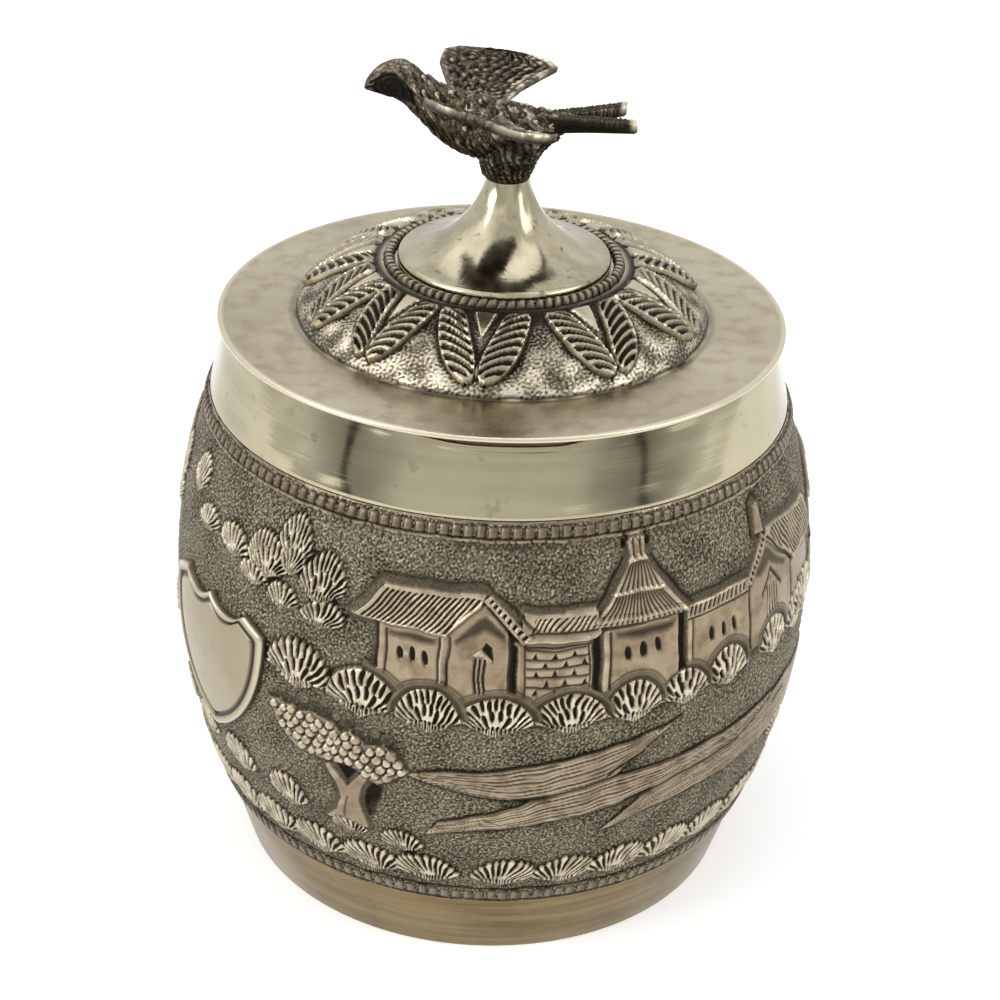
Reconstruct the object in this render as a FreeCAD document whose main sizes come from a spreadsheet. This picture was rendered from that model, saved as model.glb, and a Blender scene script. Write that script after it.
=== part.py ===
import FreeCAD, Part, Sketcher
import os
from types import SimpleNamespace

# A round silver caddy: chased barrel, plain collar and foot, lift-off lid with
# a leaf dome, a trumpet knob and a flying bird. The base stands on z = 0, the
# axis is Z, the front is -Y and the bird's head points to -X.

# Driving dimensions: millimetres, and degrees where the name says so.
sizes = {
    # foot band and bottom
    "foot_radius": 37.1,
    "foot_height": 11.1,
    "foot_sheet": 1.0,
    "foot_setback": 0.5,
    "ledge_height": 0.8,
    "ledge_width": 2.0,
    "base_sheet": 0.9,
    # chased barrel
    "barrel_bottom_radius": 40.9,
    "barrel_swell": 5.85,
    "barrel_top_radius": 41.6,
    "barrel_height": 62.1,
    "barrel_sheet": 0.8,
    # plain collar round the mouth
    "collar_draw": 2.8,
    "collar_height": 10.4,
    "collar_sheet": 1.0,
    "collar_setback": 0.3,
    "lap_depth": 3.0,
    "solder_gap": 0.03,
    # blank shield on the barrel
    "shield_width": 24.4,
    "shield_height": 22.3,
    "shield_tip_height": 30.0,
    "shield_scallop": 1.8,
    "shield_flank": 1.9,
    "shield_sheet": 0.6,
    "shield_azimuth_degrees": -55.5,
    # lid with its dome and its inner bezel
    "lid_overhang": 1.2,
    "lid_sheet": 0.8,
    "dome_foot_radius": 29.2,
    "dome_crown_radius": 17.6,
    "dome_height": 7.4,
    "dome_swell": 1.3,
    "bezel_height": 9.0,
    "bezel_sheet": 0.8,
    "bezel_clearance": 0.3,
    # trumpet knob and the ring round its foot
    "trumpet_foot_radius": 14.9,
    "trumpet_foot_height": 1.3,
    "trumpet_waist_radius": 5.6,
    "trumpet_waist_height": 6.7,
    "trumpet_neck_radius": 3.0,
    "trumpet_height": 11.5,
    "trumpet_sheet": 0.8,
    "ring_width": 2.4,
    "ring_height": 1.5,
    "ring_edge": 0.5,
    # bird and the post that carries it
    "post_height": 6.0,
    "post_top_radius": 4.3,
    "bird_rise": 7.7,
    "bird_length": 36.8,
    "bird_body_radius": 4.4,
    "tail_span": 8.2,
    "tail_sheet": 1.2,
    "tail_rise": 0.9,
    "wing_length": 16.0,
    "wing_span": 16.2,
    "wing_sheet": 1.1,
    "wing_rise": 0.3,
    "wing_dihedral_degrees": 19.5,
    "wing_pitch_degrees": 10.0,
    # fastening inside the lid
    "stud_radius": 1.2,
    "stud_clearance": 0.05,
    "stud_tail": 0.6,
    "washer_radius": 4.0,
    "washer_height": 0.6,
    "nut_corner_radius": 3.0,
    "nut_height": 2.2,
    # one overrun for every cutting tool
    "overrun": 5.0,
}

doc = FreeCAD.newDocument("caddy")
sheet = doc.addObject("Spreadsheet::Sheet", "sizes")
for row, (name, value) in enumerate(sizes.items(), start=1):
    sheet.set(f"A{row}", str(value))
    sheet.setAlias(f"A{row}", name)
doc.recompute()


class Size:
    """A length held as a number and as the sheet expression behind it."""

    def __init__(self, value, text):
        self.value = value
        self.text = text

    def __add__(self, other):
        other = as_size(other)
        return Size(self.value + other.value, f"({self.text} + {other.text})")

    def __sub__(self, other):
        other = as_size(other)
        return Size(self.value - other.value, f"({self.text} - {other.text})")

    def __mul__(self, share):
        return Size(self.value * share, f"({self.text} * {share})")

    def __neg__(self):
        return Size(-self.value, f"(0 - {self.text})")


def as_size(value):
    return value if isinstance(value, Size) else Size(value, str(value))


def number(value):
    return as_size(value).value


s = SimpleNamespace(**{name: Size(sheet.get(name), f"sizes.{name}") for name in sizes})
half_share = 0.5
diagonal_share = 0.707

# Heights along the axis, from the ground up
barrel_foot_z = s.foot_height
barrel_belly_z = s.foot_height + s.barrel_height * half_share
barrel_top_z = s.foot_height + s.barrel_height
mouth_z = barrel_top_z + s.collar_height
lid_z = mouth_z + s.lid_sheet
crown_z = lid_z + s.dome_height
neck_z = crown_z + s.trumpet_height
bird_z = neck_z + s.bird_rise
stud_bore = s.stud_radius + s.stud_clearance

# Radii that follow from the barrel's two ends
barrel_belly_radius = (s.barrel_bottom_radius + s.barrel_top_radius) * half_share + s.barrel_swell
collar_mouth_radius = s.barrel_top_radius - s.collar_draw
lid_radius = collar_mouth_radius + s.lid_overhang


def vector(point):
    return FreeCAD.Vector(number(point[0]), number(point[1]), 0)


def origin_plane(body, role):
    return next(item for item in body.Origin.OriginFeatures if item.Role == role)


def pin_point(sketch, geometry, end, point):
    """Hold one point of a sketch at its two lengths from the sketch's origin."""
    for kind, other_axis, length in (("DistanceX", -2, point[0]), ("DistanceY", -1, point[1])):
        if number(length) == 0:
            sketch.addConstraint(Sketcher.Constraint("PointOnObject", geometry, end, other_axis))
            continue
        if number(length) > 0:
            places = (-1, 1, geometry, end)
        else:
            places = (geometry, end, -1, 1)
            length = -length
        index = sketch.addConstraint(Sketcher.Constraint(kind, *places, length.value))
        sketch.setExpression(f"Constraints[{index}]", length.text)


def draw_outline(sketch, corners, arcs=None):
    """Close a loop of lines through the corners; arcs names a point that an edge bends through."""
    arcs = arcs or {}
    ends = []
    for index, corner in enumerate(corners):
        start = vector(corner)
        stop = vector(corners[(index + 1) % len(corners)])
        if index in arcs:
            edge = sketch.addGeometry(Part.ArcOfCircle(start, vector(arcs[index]), stop))
        else:
            edge = sketch.addGeometry(Part.LineSegment(start, stop))
        first = sketch.getPoint(edge, 1)
        forward = first.distanceToPoint(start) < first.distanceToPoint(stop)
        ends.append((edge, 1, 2) if forward else (edge, 2, 1))
    for index, (edge, first, last) in enumerate(ends):
        following, following_first, _ = ends[(index + 1) % len(ends)]
        sketch.addConstraint(Sketcher.Constraint("Coincident", edge, last, following, following_first))
        pin_point(sketch, edge, first, corners[index])
    for index, middle in arcs.items():
        point = sketch.addGeometry(Part.Point(vector(middle)), True)
        pin_point(sketch, point, 1, middle)
        sketch.addConstraint(Sketcher.Constraint("PointOnObject", point, 1, ends[index][0]))


def body_sketch(body, name, role, offset=None):
    sketch = body.newObject("Sketcher::SketchObject", name)
    sketch.AttachmentSupport = (origin_plane(body, role), [""])
    sketch.MapMode = "FlatFace"
    if offset is not None:
        sketch.AttachmentOffset = FreeCAD.Placement(FreeCAD.Vector(0, 0, number(offset)), FreeCAD.Rotation())
        sketch.setExpression("AttachmentOffset.Base.z", offset.text)
    return sketch


def turned_body(label, corners, arcs=None):
    """A body turned about Z from a profile of radius and height."""
    body = doc.addObject("PartDesign::Body", label)
    sketch = body_sketch(body, f"{label}_profile", "XZ_Plane")
    draw_outline(sketch, corners, arcs)
    turn = body.newObject("PartDesign::Revolution", f"{label}_turn")
    turn.Profile = sketch
    turn.ReferenceAxis = (sketch, ["V_Axis"])
    doc.recompute()
    return body


def cut(label, base, tool):
    result = doc.addObject("Part::Cut", label)
    result.Base = base
    result.Tool = tool
    doc.recompute()
    return result


def cylinder(label, radius, height, base_z):
    result = doc.addObject("Part::Cylinder", label)
    result.setExpression("Radius", radius.text)
    result.setExpression("Height", height.text)
    result.setExpression("Placement.Base.z", base_z.text)
    doc.recompute()
    return result


def foot_ring():
    """Plain foot band with a ledge for the bottom and a lap inside the barrel."""
    lap = s.barrel_bottom_radius - s.barrel_sheet - s.solder_gap
    seat = s.foot_radius - s.foot_sheet
    return turned_body("foot_ring", [
        (s.foot_radius, 0),
        (s.barrel_bottom_radius - s.foot_setback, barrel_foot_z),
        (lap, barrel_foot_z),
        (lap, barrel_foot_z + s.lap_depth),
        (lap - s.foot_sheet, barrel_foot_z + s.lap_depth),
        (lap - s.foot_sheet, barrel_foot_z),
        (seat, s.ledge_height + s.base_sheet),
        (seat, s.ledge_height),
        (seat - s.ledge_width, s.ledge_height),
        (seat - s.ledge_width, 0),
    ])


def base_plate():
    """Flat bottom that lies on the ledge of the foot."""
    radius = s.foot_radius - s.foot_sheet - s.solder_gap
    return cylinder("base_plate", radius, s.base_sheet, s.ledge_height)


def barrel_wall():
    """Barrel sheet, swelling to its belly at half height."""
    inner = s.barrel_sheet
    return turned_body("barrel_wall", [
        (s.barrel_bottom_radius, barrel_foot_z),
        (s.barrel_top_radius, barrel_top_z),
        (s.barrel_top_radius - inner, barrel_top_z),
        (s.barrel_bottom_radius - inner, barrel_foot_z),
    ], {
        0: (barrel_belly_radius, barrel_belly_z),
        2: (barrel_belly_radius - inner, barrel_belly_z),
    })


def neck_collar():
    """Plain mouth band, lapped inside the barrel's top edge."""
    lap = s.barrel_top_radius - s.barrel_sheet - s.solder_gap
    return turned_body("neck_collar", [
        (s.barrel_top_radius - s.collar_setback, barrel_top_z),
        (collar_mouth_radius, mouth_z),
        (collar_mouth_radius - s.collar_sheet, mouth_z),
        (lap - s.collar_sheet, barrel_top_z),
        (lap - s.collar_sheet, barrel_top_z - s.lap_depth),
        (lap, barrel_top_z - s.lap_depth),
        (lap, barrel_top_z),
    ])


def shield_cartouche():
    """Blank shield plate that follows the barrel's swell."""
    inner = s.solder_gap
    outer = s.solder_gap + s.shield_sheet
    skin = turned_body("shield_skin", [
        (s.barrel_bottom_radius + outer, barrel_foot_z),
        (s.barrel_top_radius + outer, barrel_top_z),
        (s.barrel_top_radius + inner, barrel_top_z),
        (s.barrel_bottom_radius + inner, barrel_foot_z),
    ], {
        0: (barrel_belly_radius + outer, barrel_belly_z),
        2: (barrel_belly_radius + inner, barrel_belly_z),
    })
    outline = doc.addObject("Sketcher::SketchObject", "shield_outline")
    half = s.shield_width * half_share
    top = s.shield_tip_height + s.shield_height
    dip = top - s.shield_scallop
    cusp_share = 0.36
    cusp_gap_share = 0.68
    flank_share = 0.46
    flank = half - s.shield_flank
    flank_z = s.shield_tip_height + s.shield_height * flank_share
    draw_outline(outline, [
        (0, s.shield_tip_height),
        (half, dip),
        (half * cusp_gap_share, top),
        (0, top),
        (-half * cusp_gap_share, top),
        (-half, dip),
    ], {
        0: (flank, flank_z),
        2: (half * cusp_share, dip),
        3: (-half * cusp_share, dip),
        5: (-flank, flank_z),
    })
    facing = FreeCAD.Rotation(FreeCAD.Vector(0, 0, 1), number(s.shield_azimuth_degrees))
    upright = FreeCAD.Rotation(FreeCAD.Vector(1, 0, 0), 90)
    outline.Placement = FreeCAD.Placement(FreeCAD.Vector(), facing * upright)
    prism = doc.addObject("Part::Extrusion", "shield_prism")
    prism.Base = outline
    prism.DirMode = "Normal"
    prism.Solid = True
    prism.setExpression("LengthFwd", (barrel_belly_radius + s.overrun).text)
    plate = doc.addObject("Part::Common", "shield_cartouche")
    plate.Base = skin
    plate.Tool = prism
    doc.recompute()
    return plate


def lid_plate():
    """Flat lid with its raised dome, one sheet throughout, pierced for the stud."""
    chord_radius = (s.dome_foot_radius + s.dome_crown_radius) * half_share
    chord_z = lid_z + s.dome_height * half_share
    swell = s.dome_swell * diagonal_share
    return turned_body("lid_plate", [
        (lid_radius, mouth_z),
        (lid_radius, lid_z),
        (s.dome_foot_radius, lid_z),
        (s.dome_crown_radius, crown_z),
        (stud_bore, crown_z),
        (stud_bore, crown_z - s.lid_sheet),
        (s.dome_crown_radius, crown_z - s.lid_sheet),
        (s.dome_foot_radius, mouth_z),
    ], {
        2: (chord_radius + swell, chord_z + swell),
        6: (chord_radius + swell, chord_z + swell - s.lid_sheet),
    })


def lid_bezel():
    """Sleeve under the lid that slips into the mouth."""
    outer = collar_mouth_radius - s.collar_sheet - s.bezel_clearance
    return turned_body("lid_bezel", [
        (outer, mouth_z - s.bezel_height),
        (outer, mouth_z),
        (outer - s.bezel_sheet, mouth_z),
        (outer - s.bezel_sheet, mouth_z - s.bezel_height),
    ])


def knob_trumpet():
    """Hollow trumpet that narrows in one curve from its foot to its neck."""
    inset = s.trumpet_sheet * diagonal_share
    return turned_body("knob_trumpet", [
        (s.trumpet_foot_radius, crown_z),
        (s.trumpet_foot_radius, crown_z + s.trumpet_foot_height),
        (s.trumpet_neck_radius, neck_z),
        (stud_bore, neck_z),
        (stud_bore, neck_z - s.trumpet_sheet),
        (s.trumpet_neck_radius - s.trumpet_sheet, neck_z - s.trumpet_sheet),
        (s.trumpet_foot_radius - s.trumpet_sheet, crown_z),
    ], {
        1: (s.trumpet_waist_radius, crown_z + s.trumpet_waist_height),
        5: (s.trumpet_waist_radius - inset, crown_z + s.trumpet_waist_height - inset),
    })


def knob_bead_ring():
    """Wire ring that frames the trumpet's foot."""
    inner = s.trumpet_foot_radius + s.solder_gap
    outer = inner + s.ring_width
    return turned_body("knob_bead_ring", [
        (inner, crown_z),
        (outer, crown_z),
        (outer, crown_z + s.ring_height - s.ring_edge),
        (outer - s.ring_edge, crown_z + s.ring_height),
        (inner, crown_z + s.ring_height),
    ])


# Stations of the bird's body: along its length, its height and its radius
bird_along_shares = (-0.533, -0.489, -0.402, -0.304, -0.207, -0.087, 0.049, 0.163, 0.245)
bird_height_shares = (0.128, 0.144, 0.163, 0.092, 0.033, 0.003, 0.011, 0.024, 0.038)
bird_radius_shares = (0.08, 0.295, 0.75, 0.795, 0.955, 1, 0.727, 0.432, 0.227)
# Half of the forked tail: along the bird's length and across the tail's span
tail_along_shares = (0.11, 0.29, 0.469, 0.457)
tail_across_shares = (0.17, 0.31, 0.5, 0.34)
tail_fork_share = 0.255


def bird_form():
    """Bird from beak to forked tail, before it is bored for the stud."""
    body = doc.addObject("PartDesign::Body", "bird_form")
    stations = []
    for along, height, radius in zip(bird_along_shares, bird_height_shares, bird_radius_shares):
        sketch = body_sketch(body, "bird_station", "YZ_Plane", s.bird_length * along)
        centre = (0, bird_z + s.bird_length * height)
        girth = s.bird_body_radius * radius
        circle = Part.Circle(vector(centre), FreeCAD.Vector(0, 0, 1), number(girth))
        ring = sketch.addGeometry(circle)
        pin_point(sketch, ring, 3, centre)
        index = sketch.addConstraint(Sketcher.Constraint("Radius", ring, number(girth)))
        sketch.setExpression(f"Constraints[{index}]", girth.text)
        stations.append(sketch)
    doc.recompute()
    loft = body.newObject("PartDesign::AdditiveLoft", "bird_loft")
    loft.Profile = stations[0]
    loft.Sections = stations[1:]
    doc.recompute()
    tail = body_sketch(body, "tail_outline", "XY_Plane", bird_z + s.tail_rise)
    near_side = [(s.bird_length * along, -s.tail_span * across)
                 for along, across in zip(tail_along_shares, tail_across_shares)]
    far_side = [(along, -across) for along, across in reversed(near_side)]
    draw_outline(tail, near_side + [(s.bird_length * tail_fork_share, 0)] + far_side)
    pad = body.newObject("PartDesign::Pad", "tail_pad")
    pad.Profile = tail
    pad.setExpression("Length", s.tail_sheet.text)
    doc.recompute()
    return body


def bird_post(bird):
    """Flared post between the trumpet's neck and the bird's belly."""
    form = turned_body("bird_post_form", [
        (s.trumpet_neck_radius, neck_z),
        (s.post_top_radius, neck_z + s.post_height),
        (stud_bore, neck_z + s.post_height),
        (stud_bore, neck_z),
    ])
    return cut("bird_post", form, bird)


# Wing outline: along the wing's length, then outwards along its span
wing_root_share = 0.115
wing_lead_along_share = -0.69
wing_trail_along_share = -0.16
wing_shoulder_shares = (-0.59, 0.80)
wing_tip_shares = (0.35, 0.84)
wing_lead_bend_shares = (-0.65, 0.47)
wing_end_bend_shares = (-0.06, 1.00)
wing_trail_bend_shares = (0.06, 0.53)


def bird_wing(label, side, bird):
    """Wing plate, swept back and raised, fitted to the bird's flank."""
    body = doc.addObject("PartDesign::Body", f"{label}_form")
    sketch = body_sketch(body, f"{label}_outline", "XY_Plane")

    def place(shares):
        return (s.wing_length * shares[0], s.wing_span * (side * shares[1]))

    draw_outline(sketch, [
        place((wing_lead_along_share, wing_root_share)),
        place(wing_shoulder_shares),
        place(wing_tip_shares),
        place((wing_trail_along_share, wing_root_share)),
    ], {
        0: place(wing_lead_bend_shares),
        1: place(wing_end_bend_shares),
        2: place(wing_trail_bend_shares),
    })
    pad = body.newObject("PartDesign::Pad", f"{label}_pad")
    pad.Profile = sketch
    pad.setExpression("Length", s.wing_sheet.text)
    pitch = FreeCAD.Rotation(FreeCAD.Vector(0, 1, 0), number(s.wing_pitch_degrees))
    raised = FreeCAD.Rotation(FreeCAD.Vector(1, 0, 0), side * number(s.wing_dihedral_degrees))
    height = number(bird_z + s.wing_rise)
    body.Placement = FreeCAD.Placement(FreeCAD.Vector(0, 0, height), pitch * raised)
    doc.recompute()
    return cut(label, body, bird)


def fastening():
    """Stud through the knob, with the washer and nut that draw it down."""
    washer_z = crown_z - s.lid_sheet - s.washer_height
    nut_z = washer_z - s.nut_height
    stud_z = nut_z - s.stud_tail
    stud = cylinder("finial_stud", s.stud_radius, bird_z - stud_z, stud_z)
    bore = cylinder("stud_bore", stud_bore, bird_z - stud_z, stud_z)
    washer_blank = cylinder("finial_washer_blank", s.washer_radius, s.washer_height, washer_z)
    washer = cut("finial_washer", washer_blank, bore)
    nut_blank = doc.addObject("Part::Prism", "finial_nut_blank")
    nut_blank.Polygon = 6
    nut_blank.setExpression("Circumradius", s.nut_corner_radius.text)
    nut_blank.setExpression("Height", s.nut_height.text)
    nut_blank.setExpression("Placement.Base.z", nut_z.text)
    nut = cut("finial_nut", nut_blank, bore)
    return stud, washer, nut, bore


canister_parts = [foot_ring(), base_plate(), barrel_wall(), neck_collar(), shield_cartouche()]
stud, washer, nut, bore = fastening()
bird = bird_form()
bird_bored = cut("bird_body", bird, bore)
lid_parts = [
    lid_plate(),
    lid_bezel(),
    knob_trumpet(),
    knob_bead_ring(),
    bird_post(bird),
    bird_bored,
    bird_wing("bird_left_wing", -1, bird),
    bird_wing("bird_right_wing", 1, bird),
    stud,
    washer,
    nut,
]
doc.recompute()

for item in doc.Objects:
    if "Invalid" in item.State or "Error" in item.State:
        raise RuntimeError(f"{item.Label} did not build: {item.State}")
os.makedirs("parts", exist_ok=True)
for part in canister_parts + lid_parts:
    shape = part.Shape
    if shape.isNull() or not shape.isValid() or len(shape.Solids) != 1:
        raise RuntimeError(f"{part.Label} is not one valid solid")
    print(part.Label, round(shape.Volume, 1), "mm3")
for part in canister_parts + lid_parts:
    part.Shape.exportStep(f"parts/{part.Label}.step")
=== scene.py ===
import math
import bpy
import numpy as np
from mathutils import Matrix, Vector


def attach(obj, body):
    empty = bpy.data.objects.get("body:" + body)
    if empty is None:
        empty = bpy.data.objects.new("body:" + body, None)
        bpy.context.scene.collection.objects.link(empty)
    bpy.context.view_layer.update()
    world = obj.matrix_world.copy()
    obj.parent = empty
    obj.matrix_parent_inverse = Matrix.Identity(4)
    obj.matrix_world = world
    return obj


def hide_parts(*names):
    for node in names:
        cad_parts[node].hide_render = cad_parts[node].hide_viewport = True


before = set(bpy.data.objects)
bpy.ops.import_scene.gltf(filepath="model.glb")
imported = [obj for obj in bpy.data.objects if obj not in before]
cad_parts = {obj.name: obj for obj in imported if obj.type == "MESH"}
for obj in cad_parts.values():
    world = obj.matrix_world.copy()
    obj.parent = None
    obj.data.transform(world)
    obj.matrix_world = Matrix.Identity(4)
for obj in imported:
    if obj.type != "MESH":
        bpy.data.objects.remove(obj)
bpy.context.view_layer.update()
mm = 0.001
shown = bpy.context.scene.collection
print("frame loaded:", len(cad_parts), "nodes")


# arithmetic between a wire and another value, in either order
def joined(operation, turned=False):
    def join(wire, other):
        return wire.board.reckon(operation, *((other, wire) if turned else (wire, other)))
    return join


# a socket that takes part in arithmetic, and the board it sits on
class Wire:
    def __init__(self, board, socket):
        self.board, self.socket = board, socket

    __add__, __radd__ = joined("ADD"), joined("ADD", True)
    __sub__, __rsub__ = joined("SUBTRACT"), joined("SUBTRACT", True)
    __mul__, __rmul__ = joined("MULTIPLY"), joined("MULTIPLY", True)
    __truediv__ = joined("DIVIDE")


class Board:
    def __init__(self, tree):
        self.tree = tree
        tree.nodes.clear()

    def add(self, kind, settings=None, values=None, output=0):
        node = self.tree.nodes.new(kind)
        for name, value in (settings or {}).items():
            setattr(node, name, value)
        for key, value in (values or {}).items():
            if isinstance(value, Wire):
                self.tree.links.new(value.socket, node.inputs[key])
            else:
                node.inputs[key].default_value = value
        return Wire(self, node.outputs[output]) if len(node.outputs) else node

    def reckon(self, operation, *values):
        return self.add("ShaderNodeMath", {"operation": operation}, dict(enumerate(values)))

    # named outputs of the node that a wire comes from
    def pick(self, wire, *names):
        return [Wire(self, wire.socket.node.outputs[name]) for name in names]

    def fade(self, value, low, high):
        return self.add("ShaderNodeMapRange", {"interpolation_type": "SMOOTHSTEP"},
                        {"Value": value, "From Min": low, "From Max": high})

    def tint(self, factor, first, second):
        first, second = [c if isinstance(c, Wire) else (*c, 1.0) for c in (first, second)]
        return self.add("ShaderNodeMix", {"data_type": "RGBA"}, {0: factor, 6: first, 7: second}, 2)

    def stretched(self, scale):
        place = self.add("ShaderNodeTexCoord", output=3)
        return self.add("ShaderNodeMapping", None, {"Vector": place, "Scale": scale})

    def noise(self, scale, detail, vector=None):
        vector = vector or self.add("ShaderNodeTexCoord", output=3)
        return self.add("ShaderNodeTexNoise", None,
                        {"Vector": vector, "Scale": scale, "Detail": detail, "Roughness": 0.55})


def newMaterial(name):
    material = bpy.data.materials.new(name)
    material.use_nodes = True
    return material, Board(material.node_tree)


def finishSilver(board, colour, roughness, bump, strength):
    normal = board.add("ShaderNodeBump", None, {"Strength": strength, "Distance": 0.0002, "Height": bump})
    shader = board.add("ShaderNodeBsdfPrincipled", None,
                       {"Base Color": colour, "Roughness": roughness, "Metallic": 1.0, "Normal": normal})
    board.add("ShaderNodeOutputMaterial", None, {"Surface": shader})


# plain silver: cloudy tarnish, long rubbed streaks, stains and fine scratches
def plainSilver(name, look):
    material, board = newMaterial(name)
    cloud = board.fade(board.noise(look["cloudScale"], 5.0), 0.32, 0.7)
    smear = board.fade(board.noise(1.0, 4.0, board.stretched(look["smear"])), 0.34, 0.68)
    fleck = board.fade(board.noise(look["fleckScale"], 2.0), 0.64, 0.74)
    colour = board.tint(cloud * look["cloud"], look["tone"], look["tarnish"])
    colour = board.tint(smear * look["smearWeight"], colour, look["smearTone"])
    colour = board.tint(fleck * look["fleck"], colour, look["fleckTone"])
    low, high = look["roughness"]
    roughness = low + (high - low) * (cloud * 0.6 + smear * 0.4)
    scratch = board.noise(1.0, 3.0, board.stretched(look["scratch"]))
    finishSilver(board, colour, roughness, scratch + cloud * 0.5, look["bump"])
    return material


# fields that every worked surface carries
toneNames = ("oxideAndShade", "polish", "shine")


# chased and cast silver: oxide in the recesses and painted shade where shade falls, polish on the smooth forms,
# and shine on the worn edges and as painted highlights
def workedSilver(name, look):
    material, board = newMaterial(name)
    oxideAndShade, polish, shine = [board.add("ShaderNodeAttribute", {"attribute_name": key}, output=2)
                            for key in toneNames]
    cloud = board.fade(board.noise(look["cloudScale"], 4.0), 0.3, 0.7)
    stain = board.fade(board.noise(look["stainScale"], 3.0), 0.42, 0.72)
    speck = board.fade(board.noise(look["gritScale"], 2.0), 0.36, 0.66)
    bare = board.tint(cloud * look["cloud"], look["bright"], look["tarnish"])
    bare = board.tint(stain * look["stainWeight"], bare, look["stain"])
    matt = board.tint(speck, look["mattLow"], look["mattHigh"])
    matt = board.tint(cloud * 0.5, matt, look["mattCast"])
    colour = board.tint(polish, matt, bare)
    colour = board.tint(shine, colour, look["edge"])
    colour = board.tint(oxideAndShade, colour, look["oxideAndShade"])
    low, high = look["roughness"]
    roughness = high + (low - high) * polish + cloud * 0.06 + oxideAndShade * 0.15
    finishSilver(board, colour, roughness, speck * (1.0 - polish * 0.8), look["bump"])
    return material


silverLooks = {
    "collar": {"tone": (0.47, 0.425, 0.29), "tarnish": (0.3, 0.265, 0.17), "cloud": 0.9, "cloudScale": 38.0,
               "smear": (30.0, 30.0, 500.0), "smearWeight": 0.28, "smearTone": (0.56, 0.51, 0.36),
               "fleckScale": 330.0, "fleck": 0.35, "fleckTone": (0.2, 0.16, 0.09),
               "roughness": (0.07, 0.17), "scratch": (60.0, 60.0, 1500.0), "bump": 0.035},
    "foot": {"tone": (0.215, 0.158, 0.08), "tarnish": (0.1, 0.065, 0.027), "cloud": 0.8, "cloudScale": 60.0,
             "smear": (26.0, 26.0, 520.0), "smearWeight": 0.62, "smearTone": (0.33, 0.262, 0.142),
             "fleckScale": 300.0, "fleck": 0.4, "fleckTone": (0.11, 0.075, 0.04),
             "roughness": (0.2, 0.36), "scratch": (60.0, 60.0, 1500.0), "bump": 0.1},
    "trumpet": {"tone": (0.5, 0.45, 0.315), "tarnish": (0.26, 0.22, 0.14), "cloud": 0.75, "cloudScale": 120.0,
                "smear": (420.0, 420.0, 50.0), "smearWeight": 0.35, "smearTone": (0.66, 0.6, 0.45),
                "fleckScale": 620.0, "fleck": 0.55, "fleckTone": (0.07, 0.055, 0.03),
                "roughness": (0.1, 0.24), "scratch": (900.0, 900.0, 120.0), "bump": 0.12},
    "inside": {"tone": (0.5, 0.46, 0.36), "tarnish": (0.34, 0.3, 0.22), "cloud": 0.7, "cloudScale": 50.0,
               "smear": (60.0, 60.0, 60.0), "smearWeight": 0.4, "smearTone": (0.44, 0.4, 0.31),
               "fleckScale": 500.0, "fleck": 0.3, "fleckTone": (0.2, 0.17, 0.11),
               "roughness": (0.3, 0.45), "scratch": (300.0, 300.0, 300.0), "bump": 0.12},
}
workedLooks = {
    "barrel": {"bright": (0.39, 0.32, 0.215), "tarnish": (0.245, 0.18, 0.115), "cloud": 0.8, "cloudScale": 95.0,
               "stain": (0.16, 0.105, 0.062), "stainScale": 360.0, "stainWeight": 0.7,
               "mattLow": (0.095, 0.082, 0.056), "mattHigh": (0.31, 0.268, 0.184),
               "mattCast": (0.16, 0.137, 0.094), "edge": (0.66, 0.595, 0.45), "oxideAndShade": (0.017, 0.013, 0.009),
               "roughness": (0.28, 0.44), "gritScale": 2700.0, "bump": 0.3},
    "shield": {"bright": (0.385, 0.335, 0.23), "tarnish": (0.31, 0.262, 0.17), "cloud": 0.7, "cloudScale": 70.0,
               "stain": (0.3, 0.25, 0.165), "stainScale": 300.0, "stainWeight": 0.35,
               "mattLow": (0.2, 0.17, 0.12), "mattHigh": (0.4, 0.35, 0.25),
               "mattCast": (0.3, 0.26, 0.18), "edge": (0.55, 0.5, 0.38), "oxideAndShade": (0.03, 0.022, 0.015),
               "roughness": (0.26, 0.44), "gritScale": 1500.0, "bump": 0.06},
    "lid": {"bright": (0.56, 0.495, 0.36), "tarnish": (0.42, 0.365, 0.255), "cloud": 0.85, "cloudScale": 42.0,
            "stain": (0.3, 0.245, 0.165), "stainScale": 330.0, "stainWeight": 0.55,
            "mattLow": (0.13, 0.11, 0.078), "mattHigh": (0.52, 0.455, 0.335),
            "mattCast": (0.26, 0.22, 0.155), "edge": (0.74, 0.67, 0.51), "oxideAndShade": (0.018, 0.014, 0.01),
            "roughness": (0.22, 0.32), "gritScale": 2300.0, "bump": 0.2},
    "bird": {"bright": (0.4, 0.335, 0.235), "tarnish": (0.19, 0.14, 0.088), "cloud": 0.8, "cloudScale": 240.0,
             "stain": (0.1, 0.075, 0.05), "stainScale": 700.0, "stainWeight": 0.7,
             "mattLow": (0.035, 0.028, 0.018), "mattHigh": (0.23, 0.185, 0.125),
             "mattCast": (0.07, 0.056, 0.038), "edge": (0.74, 0.66, 0.5), "oxideAndShade": (0.012, 0.011, 0.008),
             "roughness": (0.2, 0.34), "gritScale": 2600.0, "bump": 0.3},
}
plainSilvers = {name: plainSilver(name + "Silver", look) for name, look in silverLooks.items()}
workedSilvers = {name: workedSilver(name + "Worked", look) for name, look in workedLooks.items()}
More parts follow.
